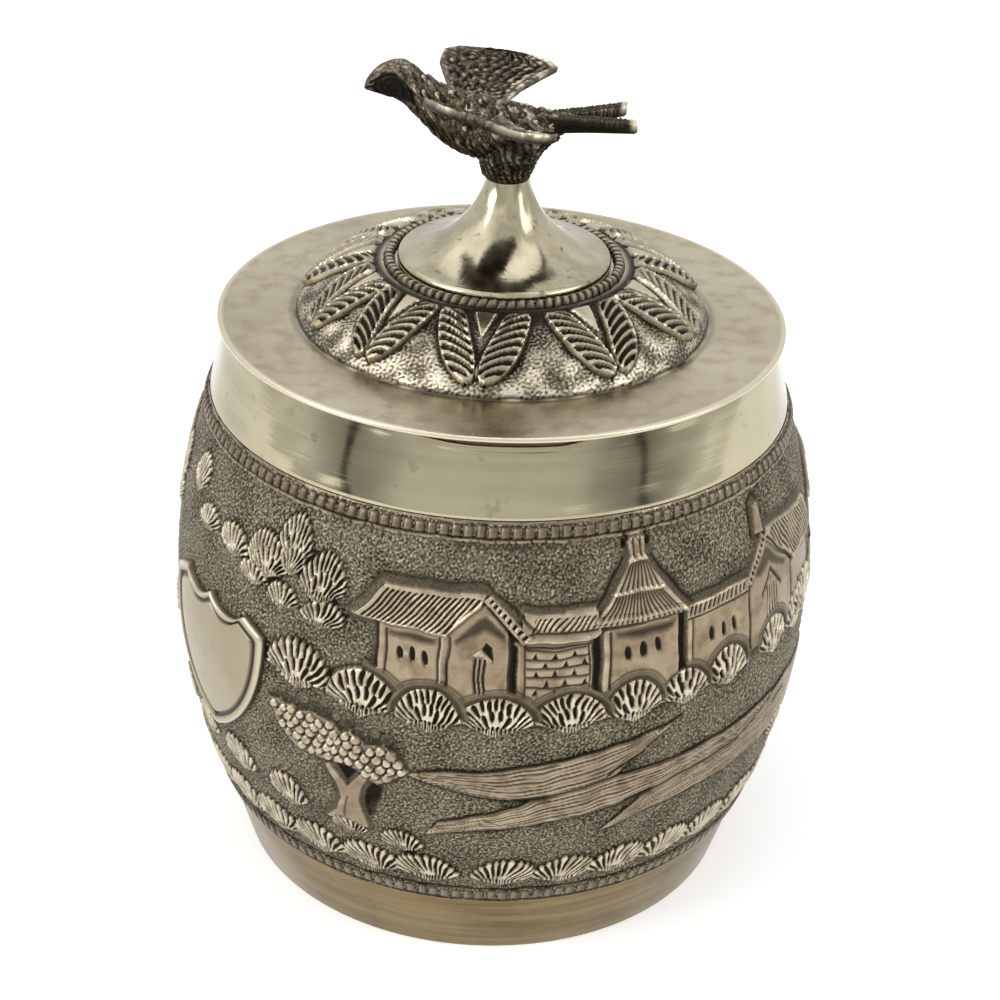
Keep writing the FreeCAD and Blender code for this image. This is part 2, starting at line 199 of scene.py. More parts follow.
# material, body and slot of each kind of piece
kinds = {"chasedBarrel": (workedSilvers["barrel"], "canister", "chased_silver"),
         "shield": (workedSilvers["shield"], "canister", "polished_silver"),
         "foot": (plainSilvers["foot"], "canister", "polished_silver"),
         "mouth": (plainSilvers["collar"], "canister", "polished_silver"),
         "inside": (plainSilvers["inside"], "canister", "polished_silver"),
         "chasedLid": (workedSilvers["lid"], "lid", "chased_silver"),
         "underLid": (plainSilvers["inside"], "lid", "polished_silver"),
         "trumpet": (plainSilvers["trumpet"], "lid", "polished_silver"),
         "fastening": (plainSilvers["inside"], "lid", "fastening_silver"),
         "cast": (workedSilvers["bird"], "lid", "cast_silver")}
print("materials made:", len(plainSilvers) + len(workedSilvers))


# a piece from points in millimetres and faces with equal numbers of corners
def newPiece(name, points, faces, kind, nodes, tones, crease):
    mesh = bpy.data.meshes.new(name)
    points, faces = np.asarray(points, float) * mm, np.asarray(faces)
    mesh.vertices.add(len(points))
    mesh.vertices.foreach_set("co", points.astype(np.float32).ravel())
    mesh.loops.add(faces.size)
    mesh.loops.foreach_set("vertex_index", faces.astype(np.int32).ravel())
    mesh.polygons.add(len(faces))
    mesh.polygons.foreach_set("loop_start", np.arange(0, faces.size, faces.shape[1], dtype=np.int32))
    for key, values in zip(toneNames, tones):
        mesh.attributes.new(key, "FLOAT", "POINT").data.foreach_set("value", values.astype(np.float32).ravel())
    mesh.update()
    mesh.validate()
    return settle(bpy.data.objects.new(name, mesh), kind, nodes, crease)


def settle(piece, kind, nodes, crease):
    material, body, slot = kinds[kind]
    mesh = piece.data
    mesh.materials.clear()
    mesh.materials.append(material)
    mesh.shade_smooth()
    if crease:
        mesh.set_sharp_from_angle(angle=math.radians(crease))
    if piece.name not in shown.objects:
        shown.objects.link(piece)
    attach(piece, body)
    if nodes:
        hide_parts(*nodes)
    return piece


def gridFaces(rows, columns, closedAcross=False, closedAlong=False):
    i = np.arange(rows if closedAlong else rows - 1)[:, None]
    j = np.arange(columns if closedAcross else columns - 1)[None, :]
    up, across = (i + 1) % rows, (j + 1) % columns
    corners = [i * columns + j, i * columns + across, up * columns + across, up * columns + j]
    return np.stack(corners, -1).reshape(-1, 4)


def smooth(low, high, value):
    t = np.clip((value - low) / (high - low), 0.0, 1.0)
    return t * t * (3.0 - 2.0 * t)


# from nought to one and back once in every step of the run
def wave(run):
    return 0.5 + 0.5 * np.cos(2 * math.pi * run)


def fullTurn(count):
    return np.linspace(0, 2 * math.pi, count, endpoint=False)[None, :]


def roundAxis(radius, height, angle):
    return np.stack([radius * np.sin(angle), -radius * np.cos(angle), height], -1)


# round the corners of a profile of radius and height
def rounded(corners, radius, steps=4):
    corners = np.asarray(corners, float)
    out = []
    for k in range(len(corners)):
        before, here, after = corners[k - 1], corners[k], corners[(k + 1) % len(corners)]
        a, b = before - here, after - here
        cut = min(radius, 0.45 * np.linalg.norm(a), 0.45 * np.linalg.norm(b))
        start, stop = here + a / np.linalg.norm(a) * cut, here + b / np.linalg.norm(b) * cut
        for t in np.linspace(0, 1, steps):
            out.append((1 - t) ** 2 * start + 2 * t * (1 - t) * here + t ** 2 * stop)
    return np.array(out)


# an arc through three points, as radius and height
def bentEdge(first, middle, last, steps):
    (ax, ay), (bx, by), (cx, cy) = first, middle, last
    d = 2 * (ax * (by - cy) + bx * (cy - ay) + cx * (ay - by))
    ux = ((ax**2 + ay**2) * (by - cy) + (bx**2 + by**2) * (cy - ay) + (cx**2 + cy**2) * (ay - by)) / d
    uy = ((ax**2 + ay**2) * (cx - bx) + (bx**2 + by**2) * (ax - cx) + (cx**2 + cy**2) * (bx - ax)) / d
    r = math.hypot(ax - ux, ay - uy)
    turns = [math.atan2(y - uy, x - ux) for x, y in (first, middle, last)]
    sweep = (turns[2] - turns[0] + math.pi) % (2 * math.pi) - math.pi
    t = turns[0] + sweep * np.linspace(0, 1, steps)
    return np.stack([ux + r * np.cos(t), uy + r * np.sin(t)], 1)


# a closed profile turned round the axis; sway may move its points
def turnedPiece(name, profile, kind, nodes=(), segments=256, sway=None, crease=35):
    profile = np.asarray(profile, float)
    angle = fullTurn(segments)
    radius, height = profile[:, :1] + 0 * angle, profile[:, 1:] + 0 * angle
    if sway:
        radius, height = sway(radius, height, angle)
    faces = gridFaces(len(profile), segments, True, True)
    shell = np.roll(profile, -1, 0)
    if (profile[:, 0] * shell[:, 1] - shell[:, 0] * profile[:, 1]).sum() < 0:
        faces = faces[:, ::-1]
    return newPiece(name, roundAxis(radius, height, angle).reshape(-1, 3), faces, kind, nodes, (), crease)


# plain rings and discs: outer and inner radius, foot, top and the rounding of the corners
rings = {"bottom_sheet": (36.07, 0.01, 0.8, 1.7, 0.1), "lid_sleeve": (37.5, 36.7, 74.6, 83.6, 0.2),
         "stud": (1.2, 0.01, 87.6, 111.0, 0.15), "washer": (4.0, 1.25, 90.4, 91.0, 0.12),
         "nut": (3.0, 1.25, 88.2, 90.4, 0.15)}


def plainRing(name, kind, node, segments, sway=None, crease=35):
    outer, inner, low, high, corner = rings[name]
    profile = rounded([(outer, low), (outer, high), (inner, high), (inner, low)], corner)
    turnedPiece(name, profile, kind, (node,), segments, sway, crease)


# sizes of the caddy, in millimetres
caddy = {"footRadius": 37.1, "barrelFoot": 11.1, "barrelTop": 73.2, "bottomRadius": 40.9,
         "bellyRadius": 47.1, "bellyHeight": 42.15, "topRadius": 41.6, "mouth": 83.6, "mouthRadius": 38.8,
         "lidTop": 84.4, "crown": 91.8, "neck": 103.3, "birdHeight": 111.0}
barrelEdge = bentEdge((caddy["bottomRadius"], caddy["barrelFoot"]), (caddy["bellyRadius"], caddy["bellyHeight"]),
                      (caddy["topRadius"], caddy["barrelTop"]), 200)


def barrelRadius(z):
    return np.interp(z, barrelEdge[:, 1], barrelEdge[:, 0])


# noise of one grain size, even all round
def grainNoise(shape, spacing, cell, spread, seed):
    noise = np.fft.rfft2(np.random.default_rng(seed).normal(size=shape))
    f = np.hypot(np.fft.fftfreq(shape[0], spacing[0])[:, None], np.fft.rfftfreq(shape[1], spacing[1])[None, :])
    field = np.fft.irfft2(noise * np.exp(-((f - 1 / cell) / (spread / cell)) ** 2), s=shape)
    return field / field.std()


def softened(field, rows, columns):
    f, g = np.fft.fftfreq(field.shape[0])[:, None], np.fft.rfftfreq(field.shape[1])[None, :]
    keep = np.exp(-2 * (math.pi ** 2) * ((rows * f) ** 2 + (columns * g) ** 2))
    return np.fft.irfft2(np.fft.rfft2(field) * keep, s=field.shape)


# the frieze: a sheet of heights in degrees round the barrel and millimetres up it, finer at the front
frieze = {"frontHalf": 84.0, "frontColumns": 1000, "backColumns": 690, "rows": 405, "panels": 10,
          "sunk": 0.5, "borderSunk": 0.3, "fieldLow": (14.0, 14.8), "fieldHigh": (71.0, 70.2),
          "heights": (-0.5, 1.1), "clear": 0.004, "lining": 1.25, "liningSheet": 0.2, "degree": 0.803,
          "noiseColumns": 2400, "lean": 0.12, "grain": 0.54, "grainDepth": 0.052, "seed": 7}


class Relief:
    def __init__(self, spec):
        self.spec, self.degree, self.turn = spec, spec["degree"], 0.0
        half = spec["frontHalf"]
        self.theta = np.concatenate([np.linspace(-half, half, spec["frontColumns"], endpoint=False),
                                     np.linspace(half, 360 - half, spec["backColumns"], endpoint=False)])
        self.z = np.linspace(caddy["barrelFoot"], caddy["barrelTop"], spec["rows"])
        size = (spec["rows"], len(self.theta))
        self.height, self.polish, self.oxideAndShade = [np.zeros(size) for _ in range(3)]
        self.shine, self.gleam, self.dull = [np.zeros(size) for _ in range(3)]
        self.ground = np.ones(size)
        # an unsteady hand: every line wanders a little
        self.swayX, self.swayZ = [0.075 * self.noise(6.0, 0.5, k) + 0.008 * self.noise(1.6, 0.4, k + 2)
                                  for k in (1, 2)]
        self.flutter = self.noise(5.0, 0.5, 9)

    # even noise laid over the uneven columns
    def noise(self, cell, spread, seed):
        rows, columns = self.spec["rows"], self.spec["noiseColumns"]
        step = 360 / columns
        spacing = ((caddy["barrelTop"] - caddy["barrelFoot"]) / rows, step * self.degree)
        even = grainNoise((rows, columns), spacing, cell, spread, seed)
        place = (self.theta % 360) / step
        first = place.astype(int) % columns
        share = place - np.floor(place)
        return even[:, first] * (1 - share) + even[:, (first + 1) % columns] * share

    def most(self, field, where, value):
        field[where] = np.maximum(field[where], value)

    # the part of the sheet round some points, with its places in millimetres
    def patch(self, points, margin=2.0):
        points = np.asarray(points, float)
        low, high = points.min(0), points.max(0)
        edge = margin / self.degree
        away = (self.theta - self.turn - low[0] + edge) % 360.0
        columns = np.nonzero(away <= high[0] - low[0] + 2 * edge)[0]
        rows = np.nonzero((self.z > low[1] - margin) & (self.z < high[1] + margin))[0]
        x, z = np.meshgrid((away[columns] + low[0] - edge) * self.degree, self.z[rows])
        where = np.ix_(rows, columns)
        return where, x + self.swayX[where], z + self.swayZ[where]

    # distance to a line of points, or into a closed shape
    def reach(self, points, x, z, closed):
        points = np.asarray(points, float) * (self.degree, 1.0)
        ends = np.roll(points, -1, 0) if closed else points[1:]
        away, inside = np.full(x.shape, 1e9), np.zeros(x.shape, bool)
        for (ax, az), (bx, bz) in zip(points, ends):
            length = max((bx - ax) ** 2 + (bz - az) ** 2, 1e-9)
            t = np.clip(((x - ax) * (bx - ax) + (z - az) * (bz - az)) / length, 0, 1)
            away = np.minimum(away, np.hypot(x - ax - t * (bx - ax), z - az - t * (bz - az)))
            if closed and az != bz:
                inside ^= ((az > z) != (bz > z)) & (x < (bx - ax) * (z - az) / (bz - az) + ax)
        return np.where(inside, away, -away) if closed else away

    # a raised flat form with a smooth sloping shoulder round it, the shoulder darkened with painted shade
    def plate(self, points, lift, shoulder=1.0, polish=1.0, shade=0.62):
        where, x, z = self.patch(points)
        d = self.reach(points, x, z, True)
        core, skirt = smooth(-0.06, 0.16, d), smooth(-shoulder, 0.0, d)
        bare = self.ground[where] > 0.5
        self.most(self.height, where, lift * (0.42 * skirt + 0.58 * core))
        self.ground[where] *= 1 - smooth(-shoulder, -shoulder * 0.5, d)
        kept = self.polish[where]
        around = np.where(bare, np.maximum(kept, 0.4 * skirt), kept)
        self.polish[where] = np.where(d > 0, polish * core, around)
        # painted shade on the shoulder round the raised form
        rim = shade * smooth(-shoulder, -shoulder * 0.6, d) * (1 - smooth(-0.1, 0.1, d))
        rim = rim * np.where(bare, 1.0, smooth(-0.45, -0.15, d))
        self.oxideAndShade[where] = np.maximum(self.oxideAndShade[where] * (1 - core), rim)

    # a dark cut line
    def groove(self, points, width, depth, dark=1.0):
        where, x, z = self.patch(points)
        cutLine = np.exp(-(self.reach(points, x, z, False) / (0.6 * width)) ** 2)
        self.height[where] -= depth * cutLine
        self.most(self.oxideAndShade, where, dark * cutLine)
        self.ground[where] *= 1 - 0.85 * cutLine

    # a thin raised bright line
    def wire(self, points, width, lift):
        where, x, z = self.patch(points)
        bar = smooth(width, 0.3 * width, self.reach(points, x, z, False))
        self.height[where] += lift * bar
        self.oxideAndShade[where] *= 1 - 0.95 * bar
        self.most(self.polish, where, bar)
        self.ground[where] *= 1 - bar

    # a sunk and darkened place
    def hollow(self, points, depth, dark, edge=0.4):
        where, x, z = self.patch(points)
        m = smooth(-0.1, edge, self.reach(points, x, z, True))
        self.height[where] -= depth * m
        self.most(self.oxideAndShade, where, dark * m)

    # dark oval holes, leaning a little
    def ovals(self, places, half, depth=0.3):
        c, s = math.cos(self.spec["lean"]), math.sin(self.spec["lean"])
        for place in places:
            where, x, z = self.patch([place])
            x, z = x - place[0] * self.degree, z - place[1]
            m = smooth(1.2, 0.75, np.hypot((x * c + z * s) / half[0], (z * c - x * s) / half[1]))
            self.height[where] -= depth * m
            self.most(self.oxideAndShade, where, m)

    # parallel cut lines; share is the part of each step that is cut away
    def hatch(self, points, slope, pitch, depth=0.24, dark=0.95, share=0.45):
        where, x, z = self.patch(points)
        m = smooth(0.0, 0.15, self.reach(points, x, z, True))
        run = (x * math.sin(slope) - z * math.cos(slope)) / pitch + 0.06 * self.flutter[where]
        level = 0.5 + 0.5 * math.cos(math.pi * share)
        cutLine = smooth(level - 0.28, level + 0.28, wave(run)) * m
        self.height[where] -= depth * cutLine
        self.most(self.oxideAndShade, where, dark * cutLine)

    # a bush: a fan of sunk lens-shaped leaves between thin ridges, some with a smooth dark arch behind
    def bush(self, centre, foot, half, tall, leaves, rows, arch, lift=0.62, lean=0.0, gap=0.3):
        where, x, z = self.patch([(centre - half, foot), (centre + half, foot + tall)], 2.4)
        x, z = (x - centre * self.degree) / (half * self.degree), (z - foot) / tall
        x = x - lean * np.clip(z, 0, 1.4) * (1.5 - 0.5 * z)
        e = np.hypot(x, np.maximum(z, 0)) + np.maximum(-z, 0) * 2.2
        ray = np.arctan2(x, np.maximum(z, -0.1) + 0.6) / (2 * math.atan2(1, 0.6)) + 0.01 * self.flutter[where]
        tip = 1.0 - (0 if arch else 0.06) * np.cos(2 * math.pi * ray * leaves)
        body = smooth(tip + 0.04, tip - 0.06, e)
        pit = np.zeros(x.shape)
        # rows of leaves: how many, where they start and end, and how far they are shifted
        upper = (leaves, 0.5 if rows == 2 else 0.14, 0.98, 0.0)
        lower = (leaves * 0.62, 0.12, 0.54, 0.5)
        for count, start, end, shift in (upper, lower)[:rows]:
            t = ray * count + shift
            lane = np.round(t)
            s = np.clip((e - start - 0.04 * np.sin(lane * 2.4)) / (end - start), 0, 1)
            wide = gap * (1 + 0.16 * np.sin(lane * 3.7)) * (4 * s * (1 - s)) ** 0.4 - 0.02
            pit = np.maximum(pit, smooth(0.08, -0.08, np.abs(t - lane) - wide) * (s > 0) * (s < 1))
        if arch:
            side = np.sign(arch) * x > -1.5 * (abs(arch) > 1)
            bow = smooth(0.99, 1.03, e) * smooth(1.29, 1.2, e) * smooth(0.02, 0.2, z) * side
            self.height[where] += (0.85 * lift - self.height[where]) * bow
            self.ground[where] *= 1 - bow
            self.most(self.dull, where, bow)
            self.polish[where] = np.where(bow > 0.4, 0.8, self.polish[where])
            # the arch darkened, with a lighter line along it as a painted highlight
            self.oxideAndShade[where] += (0.84 - 0.4 * np.exp(-((e - 1.18) / 0.05) ** 2) - self.oxideAndShade[where]) * bow
            line = np.exp(-((e - 1.31) / 0.04) ** 2) * (z > 0.02) * side
            self.most(self.oxideAndShade, where, 0.75 * line)
        dome = lift * body * (0.82 + 0.18 * np.clip(1 - e, 0, 1))
        raised = np.maximum(self.height[where] * (1 - body), dome)
        self.height[where] = np.where(body > 0.02, raised, self.height[where]) - 0.38 * pit * body
        self.ground[where] *= 1 - body
        self.polish[where] = np.where(body > 0.3, body, self.polish[where])
        self.most(self.gleam, where, body)
        self.dull[where] *= 1 - body
        seam = np.exp(-((e - tip - 0.08) / 0.05) ** 2) * (z > -0.1)
        self.oxideAndShade[where] = np.maximum(self.oxideAndShade[where] * (1 - body), np.maximum(pit * body, 0.85 * seam))

    # a small round boss in a dark ring
    def boss(self, place, size, polish=1.0, lift=0.2):
        where, x, z = self.patch([place], size * 2.2)
        x, z = x - place[0] * self.degree, z - place[1]
        near = np.hypot(x, z) / size
        ring = np.exp(-((near - 1.0) / 0.2) ** 2) * (0.72 + 0.28 * np.cos(np.arctan2(z, x) + 0.9))
        cap = smooth(1.0, 0.72, near)
        self.height[where] += lift * cap * (1 - 0.35 * smooth(0.6, 0.0, near)) - 0.2 * ring
        self.ground[where] *= 1 - smooth(1.4, 1.0, near)
        self.most(self.gleam, where, 0.5 * polish * cap)
        self.polish[where] = np.where(near < 1.2, polish, self.polish[where])
        dark = np.maximum(ring, (1 - polish) * 0.85 * cap)
        self.oxideAndShade[where] = np.maximum(self.oxideAndShade[where] * (1 - cap), dark)

    # a tree's crown, packed with bosses
    def crown(self, points, pitch=1.5, lift=0.5):
        where, x, z = self.patch(points)
        d = self.reach(points, x, z, True)
        body = smooth(-0.5, 0.3, d)
        self.most(self.height, where, lift * body)
        self.ground[where] *= 1 - smooth(-0.6, -0.1, d)
        self.most(self.oxideAndShade, where, 0.8 * smooth(-0.7, -0.2, d) * smooth(0.35, 0.0, d))
        rng = np.random.default_rng(5)
        low, high = np.min(points, 0), np.max(points, 0)
        for k, row in enumerate(np.arange(low[1] + 0.4, high[1], pitch * 0.86)):
            for along in np.arange(low[0] + (k % 2) * pitch * 0.62, high[0], pitch / self.degree):
                spot = np.array((along, row)) + rng.normal(0, 0.17, 2)
                across, level = np.array([[spot[0] * self.degree]]), np.array([[spot[1]]])
                if self.reach(points, across, level, True)[0, 0] > 0.25:
                    self.boss(spot, 0.74 + rng.normal(0, 0.05))

    # a band of water between two lines, scored with long streaks
    def water(self, upper, lower, streaks=9, lift=0.34):
        upper, lower = np.asarray(upper, float), np.asarray(lower, float)
        where, x, z = self.patch(np.vstack([upper, lower]))
        theta = x / self.degree
        low = np.interp(theta, lower[:, 0], lower[:, 1])
        high = np.interp(theta, upper[:, 0], upper[:, 1])
        v = (z - low) / np.maximum(high - low, 0.05)
        start, end = max(upper[0, 0], lower[0, 0]), min(upper[-1, 0], lower[-1, 0])
        span = smooth(-0.4, 0.4, np.minimum(theta - start, end - theta))
        depth = np.minimum(z - low, high - z)
        m = smooth(-0.2, 0.2, depth) * span
        ripple = v * streaks + 0.3 * np.sin(theta * 0.07 + v * 3) + 0.03 * self.flutter[where]
        lane = np.round(ripple)
        gaps = np.sin(theta * 0.23 + lane * 2.4) + 0.5 * np.sin(theta * 0.61 + lane * 5.1)
        broken = smooth(-0.75, -0.2, gaps)
        streak = smooth(0.4, 0.85, wave(ripple)) * (0.4 + 0.6 * broken) * smooth(0.05, 0.3, depth)
        self.height[where] = np.maximum(self.height[where], lift * m) - 0.15 * streak * m
        self.ground[where] *= 1 - m
        self.polish[where] = np.where(m > 0.3, m, self.polish[where])
        bank = np.exp(-(depth / 0.26) ** 2) * span
        self.height[where] -= 0.16 * bank
        dark = np.maximum(0.8 * streak * m, 0.95 * bank)
        self.oxideAndShade[where] = np.maximum(self.oxideAndShade[where] * (1 - m), dark)

    # highest or lowest height near each place
    def spread(self, field, pick, reach=3):
        for axis in (0, 1):
            field = pick.reduce([np.roll(field, k, axis) for k in range(-reach, reach + 1)])
        return field

    # wear and tarnish: bright thin ridges, dark recesses, stippled ground; also painted shade on the ground near
    # raised forms and painted glints on the stipple
    def age(self):
        ridge = self.height - self.spread(self.spread(self.height, np.minimum), np.maximum)
        recess = self.spread(self.spread(self.height, np.maximum), np.minimum) - self.height
        crest = smooth(0.05, 0.2, ridge) * (1 - self.dull)
        edge = smooth(0.04, 0.16, self.height - softened(self.height, 2.6, 3.0))
        rubbed = smooth(-1.6, 0.6, self.noise(3.0, 0.6, 14))
        near = smooth(0.03, 0.6, softened(1 - self.ground, 6.0, 7.0))
        grain = self.noise(self.spec["grain"], 0.4, self.spec["seed"])
        coarse = self.noise(1.1, 0.4, self.spec["seed"] + 1)
        drift = self.noise(9.0, 0.6, self.spec["seed"] + 2)
        worn = (0.3 + 0.5 * self.gleam) * crest + 0.14 * edge
        self.shine = np.clip(worn * (0.3 + 0.7 * rubbed) * (1 - self.ground) * (1 - self.dull), 0, 1)
        self.oxideAndShade = np.maximum(self.oxideAndShade, 0.85 * smooth(0.06, 0.22, recess))
        self.oxideAndShade = np.clip(self.oxideAndShade * (1 - 0.85 * crest), 0, 1)
        pits = smooth(0.35, -1.1, grain + 0.5 * coarse) * self.ground
        # painted shade on the ground near raised forms, with a random darker drift as tarnish
        cast = (0.26 * near + 0.13 * np.clip(drift, -1, 1.4)) * self.ground
        self.oxideAndShade = np.clip(np.maximum(self.oxideAndShade, 0.68 * pits) + cast, 0, 1)
        # painted glints on the stipple, fewer where the ground is shaded
        sparkle = 0.55 * smooth(0.8, 2.0, grain + 0.4 * coarse) * self.ground * (1 - near)
        self.shine = np.maximum(self.shine, sparkle)
        stipple = self.spec["grainDepth"] * (grain + 0.5 * coarse) * self.ground
        self.height += stipple + 0.006 * grain * (1 - self.ground)


relief = Relief(frieze)


def box(left, right, low, high):
    return [(left, low), (left, high), (right, high), (right, low)]


def cottage(r):
    r.plate([(-18.3, 48), (-18.3, 58.6), (-7.6, 58.2), (-7.6, 48)], 0.42)
    r.plate([(-6.6, 48), (-6.9, 58.6), (-1.9, 62.4), (-0.3, 62.9), (3.2, 59.9), (3.2, 48)], 0.48)
    # painted shadow under the gable's eaves, on a shallow hollow
    r.hollow([(-6.2, 57.6), (-2.2, 60.9), (-0.7, 61.6), (3.0, 58.9), (2.9, 57.6), (1.2, 58.3), (-0.8, 58.9),
              (-3.4, 57.8), (-5.6, 56.6)], 0.14, 0.78, 0.7)
    # painted shadow under the eaves of the long roof, on a shallow hollow
    r.hollow([(-17.4, 58.4), (-8.0, 58.1), (-8.4, 56.6), (-11, 56.3), (-14, 56.8), (-16.6, 57.3)], 0.1, 0.85, 0.8)
    r.plate([(-23, 59), (-17.8, 64.2), (-0.7, 64.1), (-1.7, 62.3), (-7.2, 58.3)], 0.74, 1.2)
    r.hatch([(-22.6, 59.1), (-17.6, 63.7), (-1.2, 63.5), (-7.0, 58.6)], math.atan2(5.1, 4.2), 0.6)
    r.wire([(-17.9, 64.0), (-9, 63.9), (-0.8, 63.8)], 0.34, 0.1)
    r.wire([(-23, 59.0), (-15, 58.7), (-7.2, 58.4)], 0.26, 0.1)
    r.wire([(-7.2, 58.5), (-1.5, 63.0)], 0.3, 0.16)
    r.plate([(-1.4, 63.4), (0.2, 64.1), (6.9, 58.3), (5.4, 57.4), (0, 62.2)], 0.7, 0.8)
    r.hatch([(-0.4, 63.2), (0.4, 63.8), (6.6, 58.4), (5.6, 57.8)], math.atan2(5, 4.4), 0.95, 0.3, 1.0, 0.5)
    r.groove([(-0.4, 62.4), (5.3, 57.3)], 0.4, 0.26)
    r.groove([(-0.6, 65.0), (3, 62.8), (7.8, 58.9)], 0.5, 0.2, 0.85)
    r.groove([(-18.6, 65.2), (-9, 65.1), (-0.8, 65.1)], 0.42, 0.16, 0.8)
    r.groove([(-24.4, 59.4), (-18.6, 65.0)], 0.42, 0.14, 0.7)
    for upright in (-16.9, -8.2, -6.6):
        r.groove([(upright, 49.5), (upright, 57.9)], 0.3, 0.24)
    r.groove([(-18.7, 49), (-18.7, 58.4)], 0.4, 0.2)
    r.wire([(-17.7, 49.5), (-17.7, 58.0)], 0.5, 0.04)
    r.wire([(-7.4, 49.5), (-7.4, 58.0)], 0.5, 0.05)
    r.ovals(((-14.8, 54.9), (-12.6, 55.0), (-10.3, 54.7)), (0.42, 1.0))
    r.hollow(box(-2.6, -0.4, 50.2, 55.5), 0.12, 0.5, 0.2)
    r.hatch(box(-2.7, -0.3, 50.2, 55.4), math.pi / 2, 0.58, 0.16, 1.0, 0.55)
    r.plate([(-3.2, 55.5), (-1.0, 57.0), (-0.4, 55.9)], 0.66, 0.25, 1.0, 0.3)
    r.hollow([(-1.2, 56.8), (-0.4, 57.7), (0.6, 57.1), (0.7, 54.8), (-0.3, 55.8)], 0.3, 1.0, 0.2)
    r.hollow([(3.2, 49.0), (3.2, 59.4), (4.8, 58.2), (4.8, 49.0)], 0.16, 0.95, 0.3)
    r.wire([(5.1, 49.4), (5.1, 57.4)], 0.45, 0.1)


def brickWall(r):
    r.plate(box(5.5, 17.0, 48, 58.0), 0.44)
    for course in (56.5, 55.2, 53.9, 52.6, 51.2):
        r.groove([(6.2, course + 0.1), (11, course - 0.08), (16.3, course + 0.1)], 0.26, 0.18)
    for k, course in enumerate((55.8, 54.5, 53.2, 51.9, 50.6)):
        for along in np.arange(7.6 + (k % 2) * 1.7, 16.2, 3.2):
            notch = [(along - 0.5, course - 0.6), (along + 0.15, course + 0.6), (along + 0.5, course - 0.6)]
            r.hollow(notch, 0.26, 1.0, 0.16)
    r.plate([(4.6, 57.4), (5.6, 61.6), (18.2, 61.4), (18.8, 58.3), (17.6, 57.6)], 0.62)
    r.hatch([(6.4, 58.9), (7.4, 61.1), (18.0, 60.9), (18.0, 59.0)], 0.95, 0.68)
    r.groove([(5.2, 58.7), (18, 58.9)], 0.34, 0.2)
    r.groove([(5.4, 62.5), (11, 62.3), (18, 62.2)], 0.5, 0.18, 0.85)
    r.wire([(12.8, 61.5), (17.4, 61.5)], 0.5, 0.2)
    r.groove([(5.8, 56.9), (17.0, 57.0)], 0.4, 0.2)
    r.wire([(6.2, 57.9), (16.2, 58.0)], 0.45, 0.2)
    r.groove([(5.9, 49.0), (5.9, 57)], 0.28, 0.2)
    r.groove([(16.6, 49.0), (16.6, 57)], 0.28, 0.2)
    r.hollow(box(17.2, 18.7, 49.0, 57.8), 0.2, 1.0, 0.25)


def pavilion(r):
    r.plate(box(18.9, 33.0, 48, 58.4), 0.46)
    r.wire([(19.4, 49.2), (19.4, 58)], 0.5, 0.06)
    r.groove([(20.3, 49.2), (20.3, 58)], 0.32, 0.24)
    # painted shadow under the eaves, on a shallow hollow
    r.hollow([(20.6, 58.4), (32.6, 58.3), (32.2, 56.8), (26, 56.2), (21.0, 57.2)], 0.1, 0.85, 0.9)
    r.plate([(16.6, 59.0), (21.1, 63.2), (23.6, 66.4), (24.1, 67.8), (27.4, 67.8), (28.0, 66.2), (30.6, 63.4),
             (35.8, 58.6)], 0.76, 1.3)
    for k in range(17):
        low, high = 18.2 + k * 0.98, 21.4 + k * 0.52
        r.groove([(low, 59.3 - 0.03 * k), (high, 62.9)], 0.28, 0.22)
    for k in range(8):
        low, high = 22.0 + k * 1.02, 24.3 + k * 0.42
        r.groove([(low, 63.5), (high, 67.0)], 0.28, 0.2)
    for tier in ([(20.8, 63.2), (25.3, 63.4), (30.0, 63.2)], [(24.0, 67.2), (27.4, 67.2)],
                 [(17.4, 59.8), (26, 59.6), (35.0, 59.2)]):
        r.wire(tier, 0.28, 0.16)
    r.groove([(17.8, 60.5), (26, 60.3), (34.2, 60.0)], 0.2, 0.12, 0.8)
    for slope in ([(16.4, 60.0), (20.2, 63.9), (23.0, 67.6)], [(36.6, 59.4), (31.2, 64.2), (28.6, 67.4)]):
        r.groove(slope, 0.6, 0.2, 0.95)
    r.plate([(24.3, 67.4), (24.0, 70.2), (27.4, 70.2), (27.1, 67.4)], 0.56, 0.6)
    for bar in (25.0, 26.3):
        r.groove([(bar, 67.6), (bar, 70)], 0.26, 0.16)
    r.ovals(((23.5, 69.4), (23.9, 70.3), (27.6, 70.4), (28.0, 69.2)), (0.4, 0.66), 0.24)
    r.ovals(((23.5, 54.8), (26.1, 54.9), (28.8, 55.0)), (0.5, 1.14))
    r.hollow(box(32.9, 34.7, 49.0, 58.4), 0.24, 1.0, 0.25)


def courtWall(r):
    r.plate([(34.9, 48), (34.9, 59.2), (49.6, 59.4), (49.6, 48)], 0.44)
    r.hatch([(35.4, 57.5), (35.4, 59.0), (49.2, 59.1), (49.2, 57.7)], 1.25, 0.8, 0.28, 1.0, 0.5)
    r.groove([(35.2, 57.2), (49.2, 57.4)], 0.34, 0.2)
    r.groove([(35.0, 60.2), (49.0, 60.4)], 0.5, 0.18, 0.85)
    r.ovals(((40.0, 53.9), (42.8, 53.8), (45.6, 53.9)), (0.46, 1.08))
    r.groove([(36.0, 49.6), (36.0, 56.8)], 0.28, 0.16, 0.9)


